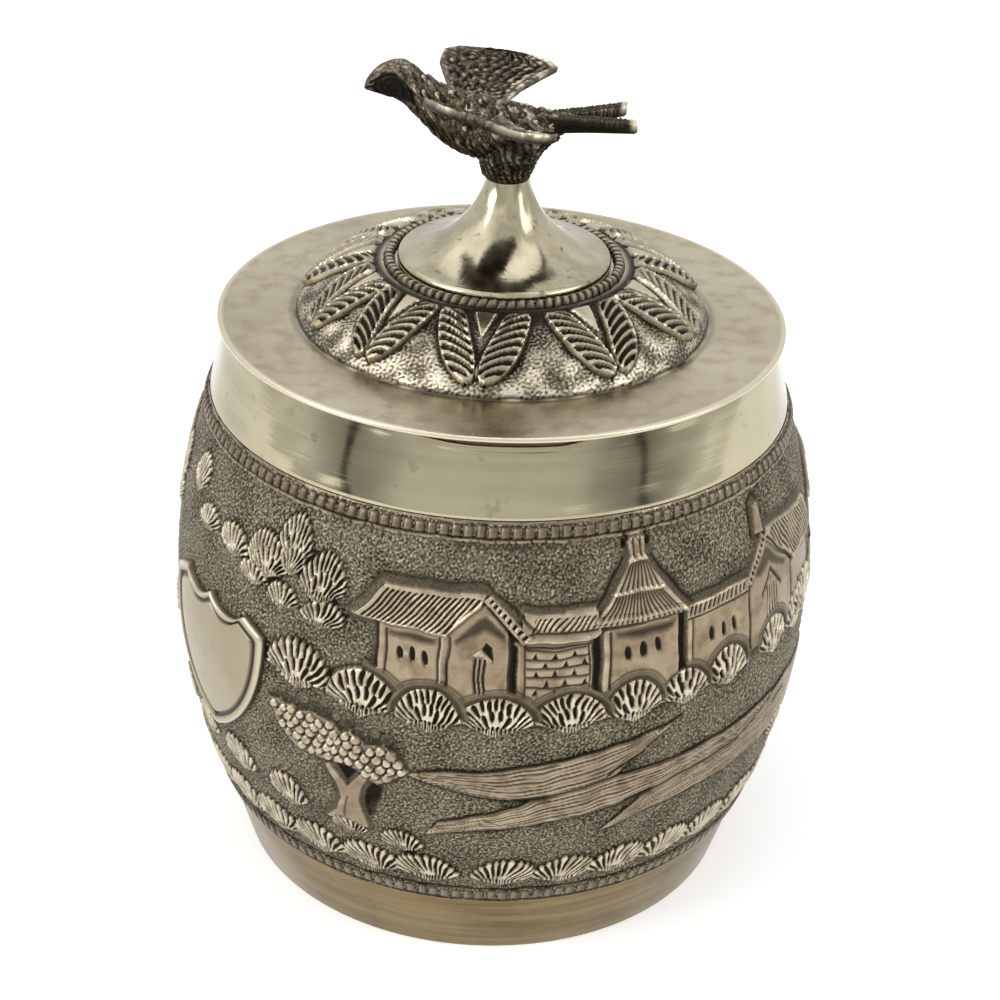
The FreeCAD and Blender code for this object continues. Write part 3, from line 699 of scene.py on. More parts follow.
def gableHouse(r):
    r.plate([(50.0, 48), (50.0, 59.0), (55.8, 63.2), (64.5, 57.6), (64.5, 48)], 0.5)
    r.plate([(64.8, 48), (64.8, 57.0), (75.0, 56.2), (75.0, 48)], 0.42)
    r.plate([(55.0, 63.0), (56.2, 64.8), (74.5, 63.2), (78.5, 57.4), (65.5, 56.6)], 0.72, 1.2)
    r.hatch([(56.6, 63.2), (58.0, 64.4), (74.0, 62.9), (77.8, 57.8), (66.0, 57.2)], 2.2, 0.66)
    r.plate([(48.6, 58.4), (54.8, 64.4), (56.0, 63.2), (50.2, 58.0)], 0.7, 0.7)
    r.hatch([(49.0, 58.5), (54.8, 64.0), (55.6, 63.2), (50.2, 58.2)], 2.2, 0.8, 0.26, 1.0, 0.5)
    r.plate([(53.0, 64.4), (53.4, 68.4), (54.8, 68.6), (55.6, 64.4)], 0.6, 0.8)
    r.groove([(52.4, 64.0), (52.6, 68.8), (54.4, 69.8), (55.8, 68.6)], 0.5, 0.2, 0.95)
    # painted shadow under the gable's eaves, on a shallow hollow
    r.hollow([(51.0, 58.6), (55.4, 62.2), (63.0, 57.6), (61, 57.0), (56, 59.4), (53, 58.0)], 0.14, 0.75, 0.6)
    r.hatch(box(54.9, 58.6, 49.0, 56.3), math.pi / 2, 0.66, 0.2, 1.0, 0.5)
    r.groove([(53.8, 55.2), (56.6, 58.6), (60.0, 55.2)], 0.5, 0.26)
    r.groove([(64.6, 49), (64.6, 57.4)], 0.5, 0.26)
    r.groove([(56.0, 63.2), (65.2, 56.8)], 0.5, 0.24)
    r.ovals(((68.6, 51.6), (71.6, 51.8)), (0.46, 1.0))


# each bush: its middle, foot, half width, height, leaves and arch
frontBushes = ((-33.2, 47.3, 6.4, 5.0, 13, 0), (-20.8, 46.3, 6.6, 5.0, 13, 1), (57.6, 46.6, 4.6, 4.4, 9, 2),
               (44.2, 46.6, 4.8, 4.4, 10, 2), (34.6, 46.3, 4.9, 3.8, 10, 1), (24.8, 46.0, 5.2, 4.6, 11, 2),
               (13.8, 45.7, 6.2, 4.2, 14, 2), (1.6, 45.5, 6.2, 4.2, 14, 2), (-9.6, 45.6, 5.6, 4.7, 14, 2))
hedgeLine = ((-39, 47.4), (-27, 46.4), (-15, 45.6), (0, 45.2), (15, 45.4), (30, 45.8), (50, 46.3), (66, 46.8))


def hedge(r, bushes):
    low, high = min(bush[0] - bush[2] for bush in bushes), max(bush[0] + bush[2] for bush in bushes)
    line = [point for point in hedgeLine if low - 2 < point[0] < high + 2]
    strip = line + [(along, z + 1.5) for along, z in line[::-1]]
    r.plate(strip, 0.5, 0.5)
    r.hatch(strip, 1.2, 0.82, 0.34, 1.0, 0.5)
    for centre, foot, half, tall, leaves, arch in bushes:
        r.bush(centre, foot, half, tall, leaves, 2, arch)
    r.groove([(along, z - 0.35) for along, z in line], 0.36, 0.16, 0.9)


def village(r):
    gableHouse(r)
    courtWall(r)
    pavilion(r)
    brickWall(r)
    cottage(r)
    hedge(r, frontBushes)
    r.bush(67.5, 46.8, 4.6, 4.4, 9, 2, 0)


def foliage(r):
    for centre, foot, half, tall, leaves, lean in (
            (-68.0, 64.2, 3.4, 4.2, 9, 0.3), (-61.0, 60.4, 4.0, 2.6, 9, 0.2), (-51.0, 60.4, 4.2, 3.0, 10, -0.2),
            (-42.0, 60.8, 5.0, 4.4, 14, -0.1), (-36.4, 64.6, 3.6, 4.6, 11, 0.1), (-36.4, 62.2, 2.6, 2.8, 8, 0.3),
            (-30.0, 60.6, 4.4, 5.0, 13, 0.25), (-44.6, 58.0, 3.4, 2.2, 9, -0.3), (-37.6, 56.9, 3.4, 2.6, 9, 0.0),
            (-29.4, 56.4, 4.2, 2.8, 10, 0.3)):
        r.bush(centre, foot, half, tall, leaves, 2 if tall > 4 else 1, 0, 0.54, lean)


def streamTree(r):
    r.plate([(-28.6, 24.4), (-26.2, 26.4), (-25.4, 29.0), (-26.2, 31.6), (-27.5, 34.4), (-26.5, 34.8),
             (-24.9, 32.7), (-23.7, 31.6), (-22.0, 33.4), (-20.4, 34.9), (-19.4, 34.0), (-21.0, 31.8),
             (-21.5, 29.6), (-21.1, 26.8), (-20.4, 24.2)], 0.5, 1.0, 0.85)
    r.hollow([(-21.0, 25.5), (-21.2, 31.6), (-18.6, 34.0), (-16.8, 32.6), (-18.4, 27)], 0.16, 0.85, 0.7)
    r.hollow([(-25.9, 35.2), (-23.8, 31.8), (-21.4, 35.0)], 0.2, 1.0, 0.4)
    r.groove([(-24.8, 25.6), (-24.0, 29.6)], 0.3, 0.14, 0.7)
    for k, spot in enumerate(((-36.2, 43.1), (-33.9, 42.9), (-31.6, 43.6), (-29.6, 43.4), (-27.4, 43.2),
                              (-25.4, 42.6), (-23.0, 42.4), (-20.8, 41.2), (-18.4, 41.6), (-16.2, 40.9))):
        r.boss(spot, 0.8 + 0.12 * math.sin(k * 2.3), 0.15, 0.14)
    r.crown([(-39.8, 41.8), (-36.6, 42.6), (-33.6, 41.4), (-30.5, 42.6), (-27, 42.2), (-24.6, 40.6),
             (-22.6, 41.2), (-20.2, 39.8), (-16.6, 40.2), (-14.2, 38.4), (-12.6, 36.2), (-15.2, 34.6),
             (-18.2, 33.1), (-21, 34.4), (-24, 35.6), (-28, 35.0), (-33.6, 35.4), (-37.6, 38.4)])


def stream(r):
    r.water([(20.9, 25.3), (25, 28.4), (29.4, 31.2), (36, 33.4), (50, 35.8), (66, 37.4), (80, 37.0), (97, 33.5)],
            [(20.9, 25.1), (24.4, 26), (30, 27.4), (40, 28.4), (52, 28.6), (66, 28.9), (80, 30.4), (97, 33.2)], 12)
    r.water([(-10, 25.4), (-7.8, 28.1), (0, 30), (5.9, 31.5), (9, 33.2), (22.6, 35.4), (30, 35.6), (50, 36.6),
             (60, 37.2)],
            [(-10, 25.2), (-4, 26.4), (0, 27), (10, 28.1), (20, 29.3), (29, 30.9), (36, 32.4), (50, 33.4),
             (60, 36.6)], 9)
    r.water([(-12.9, 36.0), (-10, 37.0), (-5.9, 37.5), (0, 37.7), (10, 38.9), (20, 40.5), (30, 41.7), (33, 41.9)],
            [(-12.9, 35.7), (-9, 34.8), (-5.2, 34.1), (2.2, 32.9), (6.7, 32.6), (10, 33.2), (17, 34.3),
             (22.6, 35.6), (25, 37.4), (29.3, 40), (33, 41.7)], 9)
    for notch, wide in (([(5.6, 32.7), (10.4, 33.0)], 0.95), ([(25.4, 30.3), (29.8, 31.0)], 1.0),
                        ([(62, 34.5), (66, 35.1)], 0.8), ([(30.5, 41.4), (34.6, 42.6)], 0.6),
                        ([(21.2, 36.0), (26.5, 38.2)], 0.6)):
        r.groove(notch, wide, 0.28)


def grasses(r):
    for centre, foot, lean in ((-72, 17.3, -1), (-62, 17.3, -1), (-52, 17.2, -1), (-42.4, 17.2, -1),
                               (-31.6, 17.1, -1), (-20.4, 17.0, -1), (-9.6, 17.0, -1), (3.7, 17.0, 1),
                               (15.0, 17.0, 1), (25.9, 17.1, 1), (36.4, 17.2, 1), (47, 17.3, 1),
                               (58, 17.3, 1), (69, 17.3, 1)):
        r.bush(centre, foot, 5.8, 3.7, 12, 1, 0, 0.5, 0.24 * lean, 0.29)
    for centre, foot, half, tall in ((-50, 25.6, 4.5, 3.6), (-37, 24.8, 4.3, 3.8), (-24, 23.2, 3.4, 1.9),
                                     (-14, 22.4, 3.8, 2.6), (-62, 26.4, 4, 3.2), (-74, 27.0, 4, 3.0)):
        r.bush(centre, foot, half, tall, 10, 1, 0, 0.48, -0.25, 0.29)


# front of the caddy as it is seen, then the same kinds of motif round the back
for turn, motifs in ((0, (village, foliage, streamTree, stream, grasses)), (106, (village, stream)),
                     (205, (cottage, brickWall, pavilion)), (142, (grasses,)), (214, (grasses,)),
                     (240, (streamTree,)), (290, (streamTree,)), (306, (foliage,))):
    relief.turn = turn
    for motif in motifs:
        motif(relief)
relief.turn = 205
hedge(relief, [bush for bush in frontBushes if bush[0] < 30])
relief.turn = 0
# lines along both borders, small nicks under the upper one and a few strokes over the roofs
for edge in (71.0, 14.2, 11.5):
    relief.groove([(-184, edge), (184, edge)], 0.36, 0.16)
relief.wire([(-184, 70.6), (184, 70.6)], 0.22, 0.05)
for along in np.arange(-180, 180, 2.17):
    start = along + 0.5 * math.sin(along)
    relief.groove([(start, 70.9), (start + 0.2, 70.3)], 0.34, 0.1, 0.6 + 0.4 * math.sin(along * 3.1))
relief.wire([(-184, 73.05), (184, 73.05)], 0.24, 0.06)
for along in np.arange(-6, 13, 1.5):
    relief.groove([(along, 70.2), (along + 0.5, 69.6), (along + 1.1, 70.2)], 0.25, 0.1, 0.85)
for along in np.arange(19, 38, 1.3):
    relief.groove([(along, 70.2), (along + 0.6, 69.4)], 0.25, 0.1, 0.75)
relief.age()
print("frieze drawn")


def buildBarrel():
    angle = np.radians(relief.theta)[None, :]
    inside = smooth(*frieze["fieldLow"], relief.z) * smooth(*frieze["fieldHigh"], relief.z)
    sunk = frieze["borderSunk"] + (frieze["sunk"] - frieze["borderSunk"]) * inside
    radius = barrelRadius(relief.z)[:, None] - sunk[:, None] + np.clip(relief.height, *frieze["heights"])
    limit = caddy["bellyRadius"] - frieze["clear"]
    x, y = np.clip(radius * np.sin(angle), -limit, limit), np.clip(-radius * np.cos(angle), -limit, limit)
    points = np.stack([x, y, relief.z[:, None] + 0 * angle], -1)
    across = np.roll(points, -1, 1) - np.roll(points, 1, 1)
    upward = np.gradient(points, axis=0)
    normals = np.cross(across, upward)
    normals /= np.linalg.norm(normals, axis=-1, keepdims=True)
    wide = len(relief.theta) // frieze["panels"]
    for k in range(frieze["panels"]):
        columns = np.arange(k * wide, (k + 1) * wide + 1) % len(relief.theta)
        tones = [getattr(relief, key)[:, columns] for key in toneNames]
        panel = newPiece(f"barrel_frieze_{k + 1}", points[:, columns].reshape(-1, 3),
                         gridFaces(frieze["rows"], wide + 1), "chasedBarrel", ("barrel_wall",), tones, 0)
        panel.data.normals_split_custom_set_from_vertices(normals[:, columns].reshape(-1, 3).tolist())
    edge = np.stack([barrelRadius(barrelEdge[::5, 1]) - frieze["lining"], barrelEdge[::5, 1]], 1)
    back = np.stack([edge[::-1, 0] + frieze["liningSheet"], edge[::-1, 1]], 1)
    turnedPiece("barrel_lining", np.vstack([edge, back]), "inside")


buildBarrel()
print("barrel built")


# plain bands: each laps the barrel from inside, and the foot has a ledge for the bottom sheet
bands = {"lap": 0.83, "lapTall": 3.0, "sheet": 1.0, "footStep": 0.5, "mouthStep": 0.3, "ledge": (36.1, 34.1),
         "ledgeTop": 0.8, "bottomTop": 1.7, "wear": 0.95, "wearLeft": (-24.0, -4.0), "wearRight": (22.0, 11.0)}


def buildBands():
    c, b = caddy, bands
    low, lap = c["barrelFoot"], c["bottomRadius"] - b["lap"]
    (ledge, opening), inside = b["ledge"], lap - b["sheet"]
    foot = rounded([(c["footRadius"], 0), (c["bottomRadius"] - b["footStep"], low), (lap, low),
                    (lap, low + b["lapTall"]), (inside, low + b["lapTall"]), (inside, low),
                    (ledge, b["bottomTop"]), (ledge, b["ledgeTop"]), (opening, b["ledgeTop"]), (opening, 0)], 0.25)
    turnedPiece("foot_band", foot, "foot", ("foot_ring",))
    plainRing("bottom_sheet", "inside", "base_plate", 128)
    high, lap = c["barrelTop"], c["topRadius"] - b["lap"]
    inside = lap - b["sheet"]
    wall = np.linspace((c["topRadius"] - b["mouthStep"], high), (c["mouthRadius"], c["mouth"]), 14)
    collar = rounded([*wall, (c["mouthRadius"] - b["sheet"], c["mouth"]), (inside, high),
                      (inside, high - b["lapTall"]), (lap, high - b["lapTall"]), (lap, high)], 0.22)

    # the mouth's edge is worn low at the front, and the band is a little beaten out of true
    def worn(radius, height, angle):
        t = (np.degrees(angle) + 180) % 360 - 180
        dip = b["wear"] * smooth(*b["wearLeft"], t) * smooth(*b["wearRight"], t)
        beat = 0.035 * np.sin(7 * angle + 0.6) + 0.03 * np.sin(17 * angle + height * 0.3)
        beat = beat + 0.018 * np.sin(31 * angle - height * 0.5)
        beat = beat * smooth(73.5, 75.5, height) * smooth(83.4, 82.0, height)
        return radius + beat, height - dip * smooth(81.6, 83.3, height)

    turnedPiece("mouth_band", collar, "mouth", ("neck_collar",), 400, worn)


buildBands()

# blank shield with a raised rim
shield = {"azimuth": -55.5, "halfWidth": 12.2, "tip": 30.0, "top": 52.3, "scallop": 1.8, "flank": 1.9,
          "middle": 42.4, "field": 0.52}


def buildShield():
    s = shield
    half, dip, gap = s["halfWidth"], s["top"] - s["scallop"], 0.68
    flankZ = s["tip"] + 0.46 * (s["top"] - s["tip"])
    right = np.vstack([bentEdge((0, s["tip"]), (half - s["flank"], flankZ), (half, dip), 60)[:-1],
                       np.linspace((half, dip), (half * gap, s["top"]), 14)[:-1],
                       bentEdge((half * gap, s["top"]), (half * 0.36, dip), (0, s["top"]), 30)[:-1]])
    outline = np.vstack([right, [(0, s["top"])], right[1:][::-1] * (-1, 1)])
    for _ in range(2):
        outline = 0.5 * outline + 0.25 * (np.roll(outline, 1, 0) + np.roll(outline, -1, 0))
    core = np.array([0.0, s["middle"]])
    field = s["field"]
    # each level: its share of the outline, its lift, its oxide and painted shade, and its shine; the outermost,
    # sunk level is dark partly as oxide in the gap and partly as a painted shadow round the raised shield
    levels = ((1.0, -0.5, 0.7, 0), (1.0, 0.2, 0.4, 0), (0.99, 0.5, 0, 0.9), (0.97, 0.62, 0, 0.8),
              (0.925, 0.58, 0.1, 0.15), (0.9, 0.5, 0.5, 0.1), (0.885, 0.26, 0.95, 0), (0.85, 0.22, 0.95, 0),
              (0.832, 0.34, 0.6, 0), (0.815, 0.5, 0.05, 0.1), (0.79, field, 0, 0), (0.65, field, 0, 0),
              (0.5, field, 0, 0), (0.32, field, 0, 0), (0.15, field, 0, 0))
    count = len(outline)
    flat = np.array([core + (outline - core) * share for share, _, _, _ in levels])
    flat = np.vstack([flat.reshape(-1, 2), core[None]])
    lift, oxideAndShade, shine = [np.append(np.repeat([row[k] for row in levels], count), end)
                          for k, end in ((1, field), (2, 0.0), (3, 0.0))]
    radius = barrelRadius(flat[:, 1])
    turn = math.radians(s["azimuth"]) + np.arcsin(np.clip(flat[:, 0] / radius, -0.9, 0.9))
    radius = np.minimum(radius + lift, caddy["bellyRadius"] + 0.6)
    points = roundAxis(radius, flat[:, 1], turn)
    points[:, 0] = np.maximum(points[:, 0], -caddy["bellyRadius"])
    last = (len(levels) - 1) * count
    fan = [[k, (k + 1) % count, count] for k in range(count)]
    tones = (oxideAndShade, np.ones(len(points)), shine)
    newPiece("shield_plate", points, gridFaces(len(levels), count, True), "shield", ("shield_cartouche",),
             tones, 50)
    newPiece("shield_middle", points[last:], fan, "shield", ("shield_cartouche",),
             [tone[last:] for tone in tones], 50)


buildShield()
print("bands and shield built")


# a small thing set round the axis: instances on points laid out in degrees, bent into a ring
def ringTree():
    tree = bpy.data.node_groups.new("bentRing", "GeometryNodeTree")
    sockets = tree.interface
    sockets.new_socket("Geometry", in_out="INPUT", socket_type="NodeSocketGeometry")
    lengths = ("Radius", "Height", "Run out", "Run up", "Length", "Swell", "Unevenness")
    inputs = {"Motif": "Object", **{name: "Float" for name in lengths}, "Seed": "Int", "Silver": "Material"}
    for name, kind in inputs.items():
        sockets.new_socket(name, in_out="INPUT", socket_type="NodeSocket" + kind)
    sockets.new_socket("Geometry", in_out="OUTPUT", socket_type="NodeSocketGeometry")
    board = Board(tree)
    given = board.add("NodeGroupInput")
    take = dict(zip(("Geometry", *inputs), board.pick(given, "Geometry", *inputs)))
    motif = board.add("GeometryNodeObjectInfo", None, {"Object": take["Motif"]}, "Geometry")
    span = board.add("GeometryNodeInputNamedAttribute", {"data_type": "FLOAT"}, {"Name": "span"})
    jitter = board.add("FunctionNodeRandomValue", {"data_type": "FLOAT"},
                       {2: -1.0, 3: 1.0, "Seed": take["Seed"]}, 1)
    uneven = jitter * take["Unevenness"]
    scale = board.add("ShaderNodeCombineXYZ", None,
                      {0: span * (1.0 + uneven), 1: 1.0 - uneven * 0.5, 2: 1.0 + uneven})
    lean = board.add("ShaderNodeCombineXYZ", None, {2: uneven * 0.4})
    laid = board.add("GeometryNodeInstanceOnPoints", None,
                     {"Points": take["Geometry"], "Instance": motif, "Rotation": lean, "Scale": scale})
    real = board.add("GeometryNodeRealizeInstances", None, {"Geometry": laid})
    place = board.add("GeometryNodeInputPosition")
    parts = board.add("ShaderNodeSeparateXYZ", None, {0: place})
    x, y, z = board.pick(parts, 0, 1, 2)
    share = y / take["Length"]
    lift = z + 4.0 * take["Swell"] * share * (1.0 - share)
    out = take["Radius"] + take["Run out"] * y + take["Run up"] * lift
    up = take["Height"] + take["Run up"] * y - take["Run out"] * lift
    turn = x * (math.pi / 180)
    sine, cosine = board.reckon("SINE", turn), board.reckon("COSINE", turn)
    bent = board.add("ShaderNodeCombineXYZ", None, {0: out * sine * mm, 1: out * cosine * -mm, 2: up * mm})
    moved = board.add("GeometryNodeSetPosition", None, {"Geometry": real, "Position": bent})
    made = board.add("GeometryNodeSetMaterial", None, {"Geometry": moved, "Material": take["Silver"]})
    board.add("NodeGroupOutput", None, {"Geometry": made})
    return tree


bentRing = ringTree()


# base is the radius and height where the run starts, run its direction outward and up
def setRound(name, motif, angles, spans, base, run, kind, nodes=(), length=1.0, swell=0.0, uneven=0.0, seed=1):
    mesh = bpy.data.meshes.new(name + "_points")
    mesh.from_pydata([(angle, 0, 0) for angle in angles], [], [])
    mesh.attributes.new("span", "FLOAT", "POINT").data.foreach_set("value", np.asarray(spans, np.float32))
    holder = bpy.data.objects.new(name + "_points", mesh)
    shown.objects.link(holder)
    ring = holder.modifiers.new("ring", "NODES")
    ring.node_group = bentRing
    values = {"Motif": motif, "Radius": float(base[0]), "Height": float(base[1]), "Run out": float(run[0]),
              "Run up": float(run[1]), "Length": length, "Swell": swell, "Unevenness": uneven, "Seed": seed,
              "Silver": kinds[kind][0]}
    for item in bentRing.interface.items_tree:
        if item.in_out == "INPUT" and item.name in values:
            ring[item.identifier] = values[item.name]
    graph = bpy.context.evaluated_depsgraph_get()
    made = bpy.data.meshes.new_from_object(holder.evaluated_get(graph), preserve_all_data_layers=True,
                                           depsgraph=graph)
    holder.modifiers.clear()
    bpy.data.objects.remove(holder)
    bpy.data.objects.remove(motif)
    made.name = name
    return settle(bpy.data.objects.new(name, made), kind, nodes, 60)


# a motif lies flat: x in degrees, y along the run and z its height, in millimetres
def motifSheet(name, rows, columns, shape):
    v, u = np.meshgrid(np.linspace(0, 1, rows), np.linspace(-1, 1, columns), indexing="ij")
    x, y, z, *fields = shape(u, v)
    mesh = bpy.data.meshes.new(name)
    mesh.from_pydata(np.stack([x, y, z], -1).reshape(-1, 3).tolist(), [], gridFaces(rows, columns).tolist())
    for key, value in zip(toneNames, fields):
        value = np.clip(value, 0, 1).astype(np.float32).ravel()
        mesh.attributes.new(key, "FLOAT", "POINT").data.foreach_set("value", value)
    piece = bpy.data.objects.new(name, mesh)
    shown.objects.link(piece)
    return piece


borders = {"top": {"count": 166, "low": 71.1, "tall": 1.8, "lift": 0.36, "sunk": 0.34, "seed": 3, "fill": 0.44},
           "bottom": {"count": 160, "low": 11.7, "tall": 2.3, "lift": 0.3, "sunk": 0.34, "seed": 4, "fill": 0.43}}


def buildBorders():
    for name, b in borders.items():
        step = 360.0 / b["count"]

        def cell(u, v):
            edge = np.minimum(1 - np.abs(u), 1 - np.abs(2 * v - 1))
            high = smooth(0.0, 0.3, edge)
            # cell edges darkened as oxide in the gaps; the right side of each cell darker with painted shade
            shade = np.maximum(1 - smooth(0.0, 0.3, edge), 0.3 + 0.3 * smooth(-0.2, 0.8, u))
            # shine: a painted highlight on the left side of each cell
            return (u * step * b["fill"] + 0.12 * (v - 0.5), v * b["tall"], b["lift"] * high - b["sunk"],
                    shade, 0.3 + 0.5 * high, 0.3 * high * smooth(0.0, -0.8, u))

        low, high = barrelRadius(b["low"]), barrelRadius(b["low"] + b["tall"])
        run = np.array([high - low, b["tall"]]) / math.hypot(high - low, b["tall"])
        setRound(name + "_border", motifSheet(name + "_cell", 6, 6, cell), np.arange(b["count"]) * step,
                 np.ones(b["count"]), (low, b["low"]), run, "chasedBarrel", uneven=0.13, seed=b["seed"])


buildBorders()
print("borders set")

# lid: smudged flat sheet and a matted dome, on one turned sheet of heights
lid = {"rim": [(39.4, 83.62), (39.75, 83.66), (39.96, 83.82), (40.0, 84.0), (39.96, 84.2), (39.8, 84.34),
               (39.5, 84.38)],
       "flat": np.linspace((39.1, 84.36), (29.6, 84.36), 14), "top": [(16.9, 91.78), (12.0, 91.78)],
       "under": [(1.3, 91.75), (1.3, 91.05), (17.2, 91.0), (20, 89.9), (24, 87.3), (28.4, 83.85), (30, 83.62)],
       "domeFoot": 29.2, "domeCrown": 17.6, "rise": 7.4, "swell": 1.3, "domeRows": 84, "columns": 760,
       "spacing": (0.165, 0.18), "seed": 21}


def domeRun():
    run = np.array([lid["domeCrown"] - lid["domeFoot"], lid["rise"]])
    return run / np.linalg.norm(run), float(np.linalg.norm(run))


# each pair's place round the dome and its width, in degrees; the run of a leaf, in millimetres
leaves = {"turns": (-66.7, -40.2, -6.5, 34.0, 69.0, 105.7, 137.2, 168.7, 200.2, 231.7, 263.2),
          "spans": (27, 30, 38, 36, 36, 33, 31, 31, 31, 31, 31), "start": 1.5, "length": 12.0, "half": 0.158,
          "strokes": 8.5, "lift": 1.15}


# one pair of leaves that meet at their tips, with a plain wedge between; x runs over the width and v up the pair
def leafPlan(x, v):
    middle = 0.066 + 0.3 * v
    taper = np.sqrt(np.clip(1 - (1 - np.clip((v - 0.01) / 0.5, 0, 1)) ** 2, 0.004, 1))
    half = leaves["half"] * taper * (1 - 0.35 * smooth(0.82, 1.0, v))
    across = (np.abs(x) - middle) / half
    wedge = smooth(0.0, 0.02, 0.145 * (v - 0.5) / 0.5 - np.abs(x)) * smooth(0.5, 0.56, v) * smooth(1.0, 0.95, v)
    return across, np.abs(across), wedge


def leafPair(u, v):
    x = u * 0.56
    across, side, wedge = leafPlan(x, v)
    leaf = smooth(1.1, 0.86, side) * smooth(1.0, 0.93, v)
    rim = np.exp(-((side - 0.9) / 0.1) ** 2)
    run = v * leaves["strokes"] - 0.75 * across + 0.55 * across ** 2
    veins = smooth(0.25, 0.7, wave(run)) * smooth(0.88, 0.72, side) * smooth(0.04, 0.12, v) * smooth(0.97, 0.9, v)
    bulge = 0.42 + 0.4 * np.sqrt(np.clip(1 - side ** 2, 0, 1)) + 0.14 * rim - 0.5 * veins
    height = leaf * bulge + 0.42 * wedge
    sunk = -0.5 * (1 - np.maximum(leaf, wedge))
    dark = np.maximum(veins * leaf, smooth(0.86, 1.06, side) * (1 - wedge))
    oxideAndShade = np.clip(dark + 0.25 * leaf * (1 - rim), 0, 1)
    shine = np.clip(leaf * (1 - veins) * (0.2 + 0.4 * rim) + 0.2 * wedge, 0, 1)
    return (x, leaves["start"] + v * leaves["length"], leaves["lift"] * height + sunk,
            oxideAndShade * (1 - 0.7 * rim * leaf), np.maximum(leaf, wedge), shine)


def buildLid():
    (out, up), length = domeRun()
    rows, columns, rimRows = lid["domeRows"], lid["columns"], len(lid["rim"])
    share = np.linspace(0, 1, rows)[:, None]
    swell = 4 * lid["swell"] * share * (1 - share)
    dome = np.hstack([lid["domeFoot"] + out * share * length + up * swell,
                      caddy["lidTop"] + up * share * length - out * swell])
    profile = np.vstack([lid["rim"], lid["flat"], dome, lid["top"], lid["under"]])
    first = rimRows + len(lid["flat"])
    angle = fullTurn(columns)
    radius, height = profile[:, :1] + 0 * angle, profile[:, 1:] + 0 * angle
    oxideAndShade, polish, shine = np.zeros(radius.shape), np.ones(radius.shape), np.zeros(radius.shape)
    # painted highlight along the lid's rounded rim
    shine[1:rimRows] = 0.75
    grain = grainNoise((rows, columns), lid["spacing"], 0.55, 0.4, lid["seed"])
    rough = grainNoise((rows, columns), lid["spacing"], 4.2, 0.5, lid["seed"] + 1)
    ground = smooth(0.01, 0.035, share) * smooth(1.0, 0.96, share)
    # dark line round every leaf, darker towards the crown
    v = (share * length - leaves["start"]) / leaves["length"]
    outline = np.zeros(grain.shape)
    for turn, span in zip(leaves["turns"], leaves["spans"]):
        x = ((np.degrees(angle) - turn + 180) % 360 - 180) / span
        _, side, wedge = leafPlan(x, np.clip(v, 0.0, 1.0))
        near = np.abs(x) < 0.6
        away = np.maximum(side - 1.05, 0) * (leaves["half"] * span * 0.4) / 0.6
        tight = np.exp(-away ** 2) * near * smooth(-0.06, 0.0, v)
        outline = np.maximum(outline, np.maximum(tight, smooth(0.55, 0.85, v) * near) * (1 - wedge))
    # dark uneven line where the dome was driven up from the sheet
    foot = np.exp(-((share - 0.016 - 0.005 * rough) / 0.016) ** 2)
    lift = (0.045 * grain + 0.07 * rough) * ground * smooth(0.02, 0.2, share) - 0.2 * foot
    where = slice(first, first + rows)
    radius[where] += up * lift
    height[where] -= out * lift
    pits = (0.75 + 0.15 * smooth(0.35, 0.6, share)) * smooth(0.25, -1.1, grain + 0.6 * rough) * ground
    oxideAndShade[where] = np.clip(pits + 0.95 * foot + 0.92 * outline, 0, 1)
    polish[where] = np.clip(1 - ground, 0, 1)
    # painted glints on the lower part of the matted dome
    shine[where] = 0.85 * smooth(0.1, 1.6, grain + 0.9 * rough) * ground * smooth(0.55, 0.25, share)
    oxideAndShade[:first] = np.maximum(oxideAndShade[:first], 0.35 * smooth(30.1, 29.6, radius[:first]))
    # the flat sheet is not quite true
    sway = 0.02 * np.sin(2 * angle + 0.8) + 0.014 * np.sin(5 * angle) + 0.01 * np.sin(11 * angle + 1)
    height[rimRows:first] += (sway - 0.02) * smooth(39, 36, radius[rimRows:first])
    newPiece("lid_sheet", roundAxis(radius, height, angle).reshape(-1, 3),
             gridFaces(len(profile), columns, True, True), "chasedLid", ("lid_plate",), (oxideAndShade, polish, shine), 60)


buildLid()


def buildLeaves():
    run, length = domeRun()
    setRound("dome_leaves", motifSheet("leaf_pair", 60, 90, leafPair), leaves["turns"], leaves["spans"],
             (lid["domeFoot"], caddy["lidTop"]), run, "chasedLid", length=length, swell=lid["swell"])


buildLeaves()
print("lid and leaves built")

# sleeve, trumpet, notched ring and the fastening under the crown
knob = {"foot": 14.9, "footHeight": 1.3, "waist": 5.6, "waistHeight": 6.7, "neck": 3.0, "neckRise": 0.8,
        "sheet": 0.8, "waistSheet": 0.57, "bore": 1.25, "beads": 80, "ringGap": 0.4, "ringWidth": 1.6,
        "ringHeight": 0.95}


